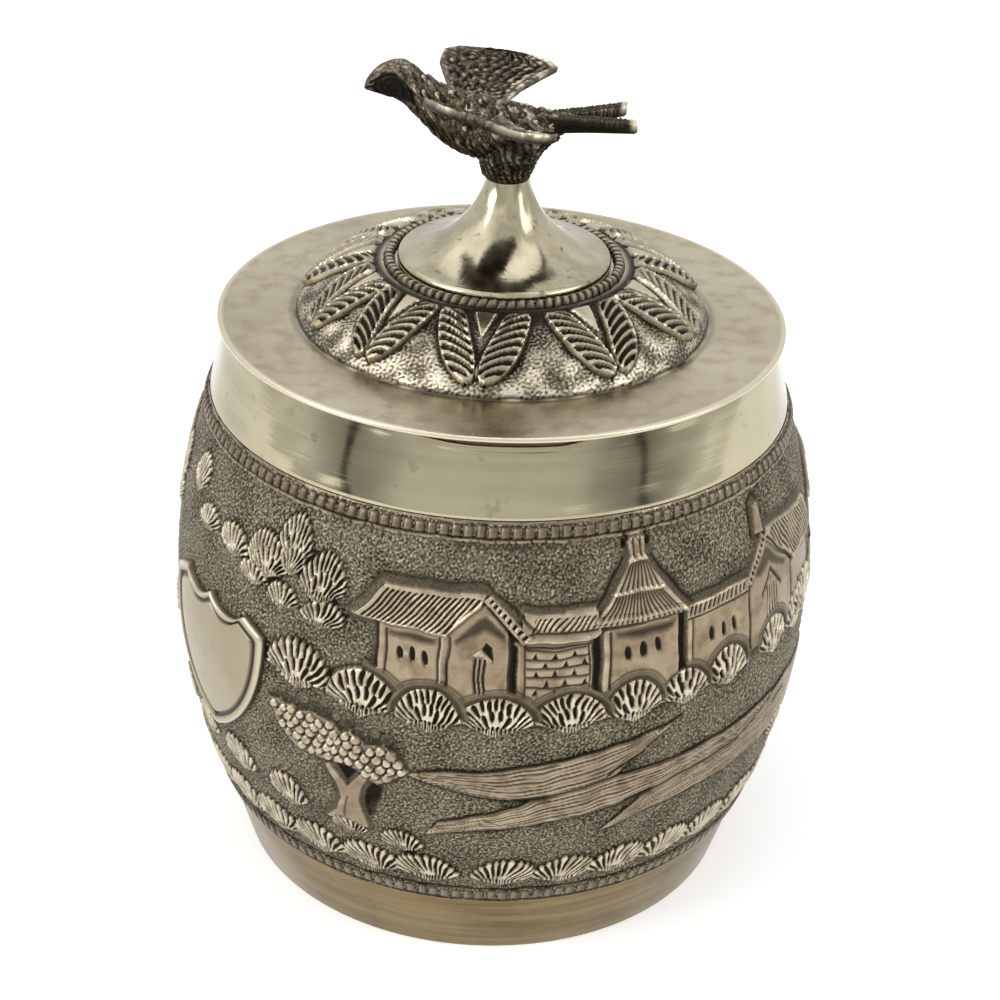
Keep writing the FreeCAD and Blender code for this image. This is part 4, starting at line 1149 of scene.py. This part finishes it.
def buildKnob():
    k, crown, sheet = knob, caddy["crown"], knob["sheet"]
    top, waist = caddy["neck"] + k["neckRise"], crown + k["waistHeight"]
    plainRing("lid_sleeve", "underLid", "lid_bezel", 256)
    outer = bentEdge((k["foot"], crown + k["footHeight"]), (k["waist"], waist), (k["neck"], top), 60)
    inner = bentEdge((k["neck"] - sheet, top - sheet), (k["waist"] - k["waistSheet"], waist - k["waistSheet"]),
                     (k["foot"] - sheet, crown), 30)
    edge = [(k["foot"] - 0.15, crown), (k["foot"], crown + 0.2), (k["foot"], crown + 0.9)]
    profile = np.vstack([edge, outer[1:], [(k["bore"], top), (k["bore"], top - sheet)], inner])

    def beaten(radius, height, angle):
        free = smooth(crown + 1.2, crown + 3.0, height) * smooth(top - 0.9, top - 2.5, height)
        beat = 0.05 * np.sin(6 * angle + 0.3 * height) + 0.03 * np.sin(13 * angle - 0.8 * height)
        return radius + free * beat, height

    turnedPiece("trumpet", profile, "trumpet", ("knob_trumpet",), 256, beaten, 50)
    outside, step = k["foot"] + k["ringGap"] + k["ringWidth"], 360.0 / k["beads"]

    def bead(u, v):
        side = np.abs(2 * v - 1)
        high = np.sqrt(np.clip(1 - side ** 3, 0, 1)) * (1 - 0.5 * np.abs(u) ** 3)
        oxideAndShade = 0.3 + 0.7 * np.maximum(smooth(0.35, 0.8, np.abs(u)), smooth(0.45, 0.9, side))
        return ((u + 0.5 * (v - 0.5)) * step * 0.5, v * k["ringWidth"], high * (k["ringHeight"] - 0.06),
                oxideAndShade, 1 + 0 * u, 0.45 * (1 - oxideAndShade))

    setRound("notched_ring", motifSheet("ring_bead", 7, 7, bead), np.arange(k["beads"]) * step,
             np.ones(k["beads"]), (outside, crown), (-1.0, 0.0), "chasedLid", ("knob_bead_ring",),
             uneven=0.11, seed=8)
    plainRing("stud", "fastening", "finial_stud", 48)
    plainRing("washer", "fastening", "finial_washer", 96)

    def hexagon(radius, height, angle):
        sixth = math.pi / 6
        wall = rings["nut"][0] * math.cos(sixth) / np.cos((angle + sixth) % (math.pi / 3) - sixth)
        return np.where(radius > 2.0, np.minimum(radius, wall), radius), height

    plainRing("nut", "fastening", "finial_nut", 96, hexagon, 25)


buildKnob()
print("knob built")

# bird: its body as rings along its length, then its wings, tail and post
bird = {"along": (-19.7, -19.6, -19.3, -18.9, -18.2, -17.5, -16.8, -16.1, -15.3, -14.4, -13.3, -11.8, -10.0, -7.6,
                  -3.2, 1.8, 6.0, 9.0),
        "rise": (5.15, 5.27, 5.55, 5.8, 6.1, 6.3, 6.38, 6.4, 6.35, 6.1, 5.3, 4.0, 2.5, 1.2, 0.1, 0.4, 0.9, 1.4),
        "girth": (0.2, 0.5, 0.95, 1.3, 1.83, 2.16, 2.44, 2.66, 2.88, 3.12, 3.3, 3.5, 3.85, 4.2, 4.4, 3.2, 1.9,
                  1.0),
        "rings": 190, "segments": 120, "spacing": (0.17, 0.2), "scale": 1.9, "cheek": (-15.8, 0.75), "seed": 31}


# a fine and a coarse noise for one cast piece
def castNoise(shape, spacing, fine, coarse):
    return [grainNoise(shape, spacing, *noise) for noise in (fine, coarse)]


def throughPoints(x, xs, ys):
    xs, ys = np.asarray(xs, float), np.asarray(ys, float)
    slopes = np.gradient(ys, xs)
    k = np.clip(np.searchsorted(xs, x) - 1, 0, len(xs) - 2)
    h = xs[k + 1] - xs[k]
    t = (x - xs[k]) / h
    return (ys[k] * (2 * t**3 - 3 * t**2 + 1) + slopes[k] * h * (t**3 - 2 * t**2 + t)
            + ys[k + 1] * (3 * t**2 - 2 * t**3) + slopes[k + 1] * h * (t**3 - t**2))


def buildBirdBody():
    b = bird
    share = np.linspace(0, 1, b["rings"])
    x = b["along"][0] + (b["along"][-1] - b["along"][0]) * (0.75 * share + 0.25 * share ** 2)
    girth = np.maximum(throughPoints(x, b["along"], b["girth"]), 0.1)[:, None]
    rise = throughPoints(x, b["along"], b["rise"])[:, None]
    angle = fullTurn(b["segments"])
    upper = np.cos(angle)
    grain, coarse = castNoise((b["rings"], b["segments"]), b["spacing"], (0.8, 0.4, b["seed"]),
                              (2.4, 0.5, b["seed"] + 1))
    x = x[:, None]
    head = smooth(-12.6, -14.4, x)
    # overlapping scales on the neck and back, fine slanting strokes on the belly
    lap = x / b["scale"] + 0.25 * np.cos(angle * 9 + math.pi * np.floor(x / b["scale"]))
    lap = (lap + 0.12 * coarse) % 1.0
    step = smooth(0.0, 0.2, lap) * (1 - lap)
    stroke = wave(x * 0.75 + angle * 2.2 + 0.16 * coarse)
    back = smooth(-0.35, 0.2, upper) * (1 - head) * smooth(7.5, 5.0, x)
    belly = (1 - smooth(-0.35, 0.2, upper)) * (1 - head)
    lift = 0.5 * (step - 0.5) * back + 0.2 * (stroke - 0.6) * belly
    lift = lift + (0.03 * grain + 0.06 * coarse) * (1 - 0.8 * head) - 0.14
    # cheek: a dark carved hollow with a small coil on each side of the head, and the line of the beak
    cheek = np.zeros(lift.shape)
    for middle, way in ((math.pi / 2, 1), (3 * math.pi / 2, -1)):
        ahead, drop = x - b["cheek"][0], (angle - middle) * girth * way - b["cheek"][1]
        away = np.hypot(ahead * 0.85, drop)
        coil = 0.5 + 0.5 * np.cos(2 * math.pi * away / 0.9 + np.arctan2(ahead, drop) + 0.4 * grain)
        cheek = np.maximum(cheek, (0.6 + 0.4 * coil) * smooth(2.7, 2.1, away + 0.2 * coarse))
    beak = np.exp(-((upper + 0.25) / 0.1) ** 2) * smooth(-17.6, -18.2, x) * smooth(0.3, 0.9, girth)
    lift = lift - 0.34 * cheek - 0.2 * beak
    radius = girth + lift * smooth(0.15, 1.2, girth)
    points = np.stack([x + 0 * angle, 0.94 * radius * np.sin(angle),
                       caddy["birdHeight"] + rise + radius * np.cos(angle)], -1)
    worn = smooth(-0.2, 1.2, coarse)
    carved = [0.95 * cheek, beak, 0.9 * back * smooth(0.3, 0.05, step), 0.8 * belly * smooth(0.35, 0.8, stroke),
              0.45 * smooth(0.0, -1.2, grain + coarse)]
    # painted shade under the body and low on the sides of the head; the top of the head is polished as a painted
    # highlight
    under, headShade = 0.3 * (1 - smooth(-0.6, 0.2, upper)), 0.3 * head * smooth(0.95, 0.5, upper)
    oxideAndShade = np.clip(np.maximum.reduce(carved) + under + headShade, 0, 1)
    polish = np.clip(0.18 * head * smooth(0.3, 0.8, upper) + 0.25 * worn, 0, 1)
    tips = 0.9 * back * smooth(0.6, 0.85, step) * worn
    specks = 0.4 * smooth(1.0, 1.9, grain + 0.5 * coarse) * worn * (1 - head)
    # painted highlight flecks on the top of the head
    headHighlight = 0.5 * head * smooth(0.6, 0.95, upper) * smooth(0.6, 1.8, grain + coarse)
    newPiece("bird_body_cast", points.reshape(-1, 3), gridFaces(b["rings"], b["segments"], True)[:, ::-1], "cast",
             ("bird_body",), (oxideAndShade, polish, np.clip(tips + specks + headHighlight, 0, 1)), 0)


# a cast plate between two edges, with its own ribs and rim
def castPlate(name, lead, trail, place, shape, thick, nodes, rows=76, columns=50):
    u, v = np.meshgrid(np.linspace(0, 1, rows), np.linspace(0, 1, columns), indexing="ij")

    def along(edge, t):
        edge = np.asarray(edge, float)
        gone = np.append(0, np.cumsum(np.linalg.norm(np.diff(edge, axis=0), axis=1)))
        return np.stack([np.interp(t * gone[-1], gone, edge[:, k]) for k in range(2)], -1)

    flat = along(lead, u) * (1 - v[..., None]) + along(trail, u) * v[..., None]
    top, bottom, *fields = shape(flat, u, v, thick)
    upper = place(np.concatenate([flat, top[..., None]], -1).reshape(-1, 3))
    lower = place(np.concatenate([flat, bottom[..., None]], -1).reshape(-1, 3))
    faces = gridFaces(rows, columns)
    count = rows * columns
    ring = np.concatenate([np.arange(columns), np.arange(1, rows) * columns + columns - 1,
                           (rows - 1) * columns + np.arange(columns - 2, -1, -1),
                           np.arange(rows - 2, 0, -1) * columns])
    wall = np.stack([ring, np.roll(ring, -1), np.roll(ring, -1) + count, ring + count], 1)
    a, b, c = upper[[0, 1, columns]]
    flip = np.cross(b - a, c - a)[2] < 0
    faces = np.vstack([faces, faces[:, ::-1] + count, wall[:, ::-1]])
    # the under side is darker and duller
    oxideAndShade, polish, shine = [field.ravel() for field in fields]
    tones = (np.append(oxideAndShade, oxideAndShade * 0.3 + 0.7), np.append(polish, polish * 0.3), np.append(shine, shine * 0.1))
    newPiece(name, np.vstack([upper, lower]), faces[:, ::-1] if flip else faces, "cast", nodes, tones, 50)


wing = {"farLead": ((-7.6, 1.4), (-8.7, 4.5), (-9.8, 7.6), (-10.8, 10.4), (-10.4, 12.8), (-8.7, 14.4),
                    (-6.0, 15.4), (-3.4, 15.95), (-1.0, 16.2)),
        "nearLead": ((-8.8, 1.4), (-11.0, 4.5), (-12.3, 7.6), (-12.0, 10.4), (-10.6, 12.8), (-8.7, 14.4),
                     (-6.0, 15.4), (-3.4, 15.95), (-1.0, 16.2)),
        "trail": ((-2.6, 1.4), (-0.6, 5.4), (1.0, 8.6), (3.6, 11.6), (5.6, 13.6), (4.6, 14.7), (2.6, 15.6),
                  (0.8, 16.1), (-1.0, 16.2)),
        "thick": 1.4, "rise": 0.25, "dihedral": 19.5, "pitch": 10.0, "barbs": 15, "camber": 0.95, "droop": 1.0,
        "spacing": (0.22, 0.2)}
tail = {"outer": ((4.05, 1.39), (10.67, 2.54), (17.1, 4.05)), "inner": ((4.05, 0.0), (10.4, 0.02), (16.9, 1.75)),
        "root": 4.05, "length": 13.0, "thick": 1.6, "rise": 0.75, "lift": 0.5, "farLift": 2.0, "farShort": 1.1,
        "ribs": 2.5, "bars": 24, "spacing": (0.22, 0.1)}


def buildWings():
    for name, side, node in (("near_wing", -1, "bird_left_wing"), ("far_wing", 1, "bird_right_wing")):
        tilt, pitch = side * math.radians(wing["dihedral"]), math.radians(wing["pitch"])
        turn = np.array(Matrix.Rotation(pitch, 3, "Y") @ Matrix.Rotation(tilt, 3, "X"))

        def place(flat):
            x, y = flat[:, 0], flat[:, 1]
            bow = wing["camber"] * np.clip(1 - ((x + 3.0) / 8.5) ** 2, -0.4, 1) * smooth(2.0, 9.0, y)
            bow = bow + (side < 0) * wing["droop"] * smooth(-6.0, 2.0, x) * smooth(5.0, 14.0, y)
            lowered = (flat - np.stack([0 * bow, 0 * bow, bow], 1)) * (1, side, 1)
            return lowered @ turn.T + (0, 0, caddy["birdHeight"] + wing["rise"])

        def shape(flat, u, v, thick):
            grain, coarse = castNoise(u.shape, wing["spacing"], (0.9, 0.45, 40 + side), (3.0, 0.5, 45 + side))
            rim = np.exp(-(np.minimum(np.minimum(v, 1 - v) * 9, (1 - u) * 12) / 0.75) ** 2)
            outer = smooth(0.35, 0.65, 0.55 * u + 0.45 * v + 0.06 * coarse)
            barb = wave(v * wing["barbs"] * 0.7 + 0.9 * u * u + 0.1 * grain)
            scale = 0.5 + 0.5 * np.cos(u * 52 + 1.6 * np.cos(v * 30) + 0.5 * coarse) * np.cos(v * 34 + 0.6 * grain)
            cut = outer * smooth(0.45, 0.8, barb) + (1 - outer) * smooth(0.45, 0.8, scale)
            edge = smooth(0.0, 0.05, np.minimum(np.minimum(v, 1 - v), 1 - u))
            top = thick - 0.34 * (1 - rim) - 0.3 * cut * (1 - rim) + 0.05 * grain - 0.25 * (1 - edge)
            bottom = 0.25 * (1 - edge) + 0.06 * np.maximum(grain, 0)
            # the near wing's edge is rubbed bright, the far wing only towards its trailing edge; the near wing
            # also carries a painted highlight patch
            if side < 0:
                along = flat[..., 0]
                rubbed = 0.1 + 0.45 * smooth(-7.0, -9.5, along)
                rubbed = rubbed + 0.85 * smooth(-4.5, -1.5, along) * smooth(-1.4, 0.2, coarse)
                flecks = 0.5 * smooth(0.5, 1.5, grain)
                # a painted highlight patch on the near wing
                highlightPatch = smooth(0.72, 0.86, u) * smooth(0.3, 0.5, v) * smooth(-1.3, 0.1, coarse)
            else:
                rubbed = 0.1 + 0.5 * smooth(0.6, 0.95, v) * smooth(0.0, 1.0, coarse)
                flecks = 0.75 * smooth(0.6, 0.85, v) * smooth(0.1, 1.1, grain + coarse)
                flecks = 0.5 * smooth(0.5, 1.5, grain) + flecks
                highlightPatch = 0 * u
            oxideAndShade = np.clip(0.9 * cut * (1 - rim) + 0.4 * smooth(0.4, -1.0, grain) + 0.15, 0, 1)
            oxideAndShade = oxideAndShade * (1 - 0.7 * rim * rubbed) * (1 - 0.7 * highlightPatch)
            polish = np.maximum(0.75 * rim * rubbed, 0.7 * highlightPatch)
            shine = np.maximum(np.clip(rubbed * rim + flecks * (1 - cut), 0, 1), 0.85 * highlightPatch)
            return np.minimum(top, thick), bottom, oxideAndShade, polish, shine

        lead = wing["nearLead" if side < 0 else "farLead"]
        castPlate(name, lead, wing["trail"], place, shape, wing["thick"], (node,))


def buildTail():
    for name, side in (("tail_near", -1), ("tail_far", 1)):
        lift, short = (tail["farLift"], tail["farShort"]) if side > 0 else (1.0, 0.0)

        def place(flat):
            gone = np.clip((flat[:, 0] - tail["root"]) / tail["length"], 0, 1)
            height = flat[:, 2] + caddy["birdHeight"] + tail["rise"] + tail["lift"] * gone * lift
            return np.stack([flat[:, 0] - short * gone, side * flat[:, 1], height], 1)

        def shape(flat, u, v, thick):
            grain = grainNoise(u.shape, tail["spacing"], 1.1, 0.5, 50 + side)
            edge = smooth(0.0, 0.14, np.minimum(np.minimum(v, 1 - v), (1 - u) * 5))
            rib = wave(v * tail["ribs"] + 0.06 * grain)
            cross = smooth(0.4, 0.8, wave(u * tail["bars"] + v * 1.5 + 0.1 * grain))
            top = thick - 0.3 * (1 - edge) - (0.2 * rib + 0.1 * cross) * edge + 0.03 * grain
            bottom = 0.3 * (1 - edge) - 0.9 * (1 - u) * smooth(0.0, 0.2, np.minimum(v, 1 - v))
            ends = smooth(0.9, 0.97, u)
            oxideAndShade = np.clip(0.42 + 0.5 * np.maximum(rib, cross), 0, 1) * (1 - 0.85 * ends)
            shine = np.clip(0.9 * ends + 0.75 * (1 - edge) * smooth(0.2, 1.0, grain) * smooth(0.3, 0.6, u), 0, 1)
            return np.minimum(top, thick), bottom, oxideAndShade, 0.3 + 0.6 * ends, shine

        castPlate(name, tail["outer"], tail["inner"], place, shape, tail["thick"], ("bird_body",), 90, 26)


# post: grows out of the neck and flares into the belly and the root of the tail
post = {"height": (104.1, 104.9, 105.9, 107.4, 108.3, 108.9, 109.4, 109.8, 110.8),
        "tailSide": (2.9, 3.3, 3.7, 4.3, 4.9, 5.5, 6.1, 6.7, 7.2),
        "headSide": (3.0, 3.6, 3.9, 4.2, 4.3, 4.3, 4.2, 4.0, 3.0),
        "across": (2.95, 3.4, 3.7, 4.0, 3.9, 3.7, 3.4, 3.1, 2.2), "rows": 76, "segments": 140,
        "spacing": (0.1, 0.17)}


def buildPost():
    foot, rows, segments = post["height"][0], post["rows"], post["segments"]
    z, angle = np.linspace(foot, post["height"][-1], rows)[:, None], fullTurn(segments)
    tailSide, headSide, across = [np.interp(z, post["height"], post[key])
                                  for key in ("tailSide", "headSide", "across")]
    grain, coarse = castNoise((rows, segments), post["spacing"], (0.8, 0.45, 61), (2.5, 0.45, 62))
    stroke = 0.5 + 0.5 * np.cos(angle * 27 + z * 2.2 + 0.8 * coarse)
    grow = 1 + (0.035 * (1 - stroke) + 0.02 * grain - 0.03) * smooth(foot, foot + 0.4, z)
    x = np.where(np.cos(angle) > 0, tailSide, headSide) * np.cos(angle) * grow
    points = np.stack([x, across * np.sin(angle) * grow, z + 0 * angle], -1)
    oxideAndShade = np.clip(0.5 + 0.45 * smooth(0.35, 0.75, stroke) + 0.3 * smooth(0.3, -1.0, coarse), 0, 1)
    shine = np.clip(0.35 * smooth(0.6, 1.6, grain + coarse) * (1 - stroke), 0, 1)
    newPiece("bird_post_cast", points.reshape(-1, 3), gridFaces(rows, segments, True), "cast", ("bird_post",),
             (oxideAndShade, 0.2 + 0 * oxideAndShade, shine), 0)


buildBirdBody()
buildWings()
buildTail()
buildPost()
print("bird built")


# stage, light and camera
stage = {"floorSize": 1.0, "floorTone": 0.9, "floorGlow": 0.42, "aim": (0, 0, 0.06), "lamps": (
             {"name": "skyLamp", "place": (-0.25, -0.15, 0.95), "size": 2.1, "power": 6.0},
             {"name": "sideLamp", "place": (-0.85, -0.45, 0.5), "size": 0.6, "power": 4.0},
             {"name": "fillLamp", "place": (0.9, -0.35, 0.55), "size": 0.7, "power": 3.0}),
         "dimDepth": 0.12, "gapDepth": 0.5, "gapStart": (0.5, 0.9), "gapEnd": (1.5, 1.0), "barDepth": 0.35,
         "barPlace": 0.98, "barEdge": (0.05, 0.02), "topDepth": 0.6, "topWay": (0.0, -0.5, 0.87),
         "topEdge": (0.82, 0.97)}


def buildStage():
    size = stage["floorSize"] / 2
    mesh = bpy.data.meshes.new("floor")
    mesh.from_pydata([(-size, -size, 0), (size, -size, 0), (size, size, 0), (-size, size, 0)], [], [(0, 1, 2, 3)])
    floor = bpy.data.objects.new("floor", mesh)
    shown.objects.link(floor)
    material, board = newMaterial("paleFloor")
    path = board.add("ShaderNodeLightPath")
    seen = board.reckon("MAXIMUM", path, *board.pick(path, "Is Glossy Ray"))
    paper = board.add("ShaderNodeBsdfDiffuse", None, {"Color": (stage["floorTone"],) * 3 + (1.0,)})
    glow = board.add("ShaderNodeEmission", None, {"Color": (1, 1, 1, 1), "Strength": seen * stage["floorGlow"]})
    both = board.add("ShaderNodeAddShader", None, {0: paper, 1: glow})
    board.add("ShaderNodeOutputMaterial", None, {"Surface": both})
    mesh.materials.append(material)
    for lamp in stage["lamps"]:
        light = bpy.data.lights.new(lamp["name"], "AREA")
        light.shape, light.size, light.energy = "DISK", lamp["size"], lamp["power"]
        holder = bpy.data.objects.new(lamp["name"], light)
        holder.location = lamp["place"]
        holder.rotation_euler = (Vector(stage["aim"]) - holder.location).to_track_quat("-Z", "Y").to_euler()
        shown.objects.link(holder)
    # world: pale all round, with soft darker gaps on the side where the viewer stands
    world = bpy.data.worlds.new("studio")
    bpy.context.scene.world = world
    world.use_nodes = True
    board = Board(world.node_tree)
    path = board.add("ShaderNodeLightPath")
    reflected = board.reckon("MAXIMUM", *board.pick(path, "Is Glossy Ray", "Is Transmission Ray"))
    seen = board.reckon("MAXIMUM", path, reflected)
    way = board.add("ShaderNodeTexCoord", output=0)
    parts = board.add("ShaderNodeSeparateXYZ", None, {0: way})
    x, y, z = board.pick(parts, 0, 1, 2)
    aside = board.reckon("ABSOLUTE", board.reckon("ARCTAN2", x, y * -1.0))
    low = board.fade(z, 0.6, 0.2)
    gap = board.fade(aside, *stage["gapStart"]) * board.fade(aside, *stage["gapEnd"])
    bar = board.fade(board.reckon("ABSOLUTE", aside - stage["barPlace"]), *stage["barEdge"])
    toward = board.add("ShaderNodeVectorMath", {"operation": "DOT_PRODUCT"}, {0: way, 1: stage["topWay"]}, 1)
    dim = (stage["dimDepth"] + gap * stage["gapDepth"] + bar * stage["barDepth"]) * low
    dim = board.fade(toward, *stage["topEdge"]) * stage["topDepth"] + dim
    strength = 0.5 + seen * 0.5 - reflected * dim
    sky = board.add("ShaderNodeBackground", None, {"Color": (1, 1, 1, 1), "Strength": strength})
    board.add("ShaderNodeOutputWorld", None, {"Surface": sky})


buildStage()

view = {"place": (0.0, -0.290656, 0.214628), "pitch": 0.5063, "yaw": 0.0023, "roll": 0.0392, "lens": 80.88,
        "sensor": 36.0, "nearest": 0.01}


def buildCamera():
    p, y, r = view["pitch"], view["yaw"], view["roll"]
    ahead, above = Vector((0, math.cos(p), -math.sin(p))), Vector((0, math.sin(p), math.cos(p)))
    right = Vector((1, 0, 0))
    look = ahead * math.cos(y) + right * math.sin(y)
    side = right * math.cos(y) - ahead * math.sin(y)
    across = side * math.cos(r) + above * math.sin(r)
    top = above * math.cos(r) - side * math.sin(r)
    data = bpy.data.cameras.new("viewer")
    data.lens, data.sensor_width, data.clip_start = view["lens"], view["sensor"], view["nearest"]
    camera = bpy.data.objects.new("viewer", data)
    turn = Matrix((across, top, -look)).transposed().to_4x4()
    camera.matrix_world = Matrix.Translation(view["place"]) @ turn
    shown.objects.link(camera)
    bpy.context.scene.camera = camera


buildCamera()
bpy.context.scene.view_settings.view_transform = "Standard"
print("stage and camera set")
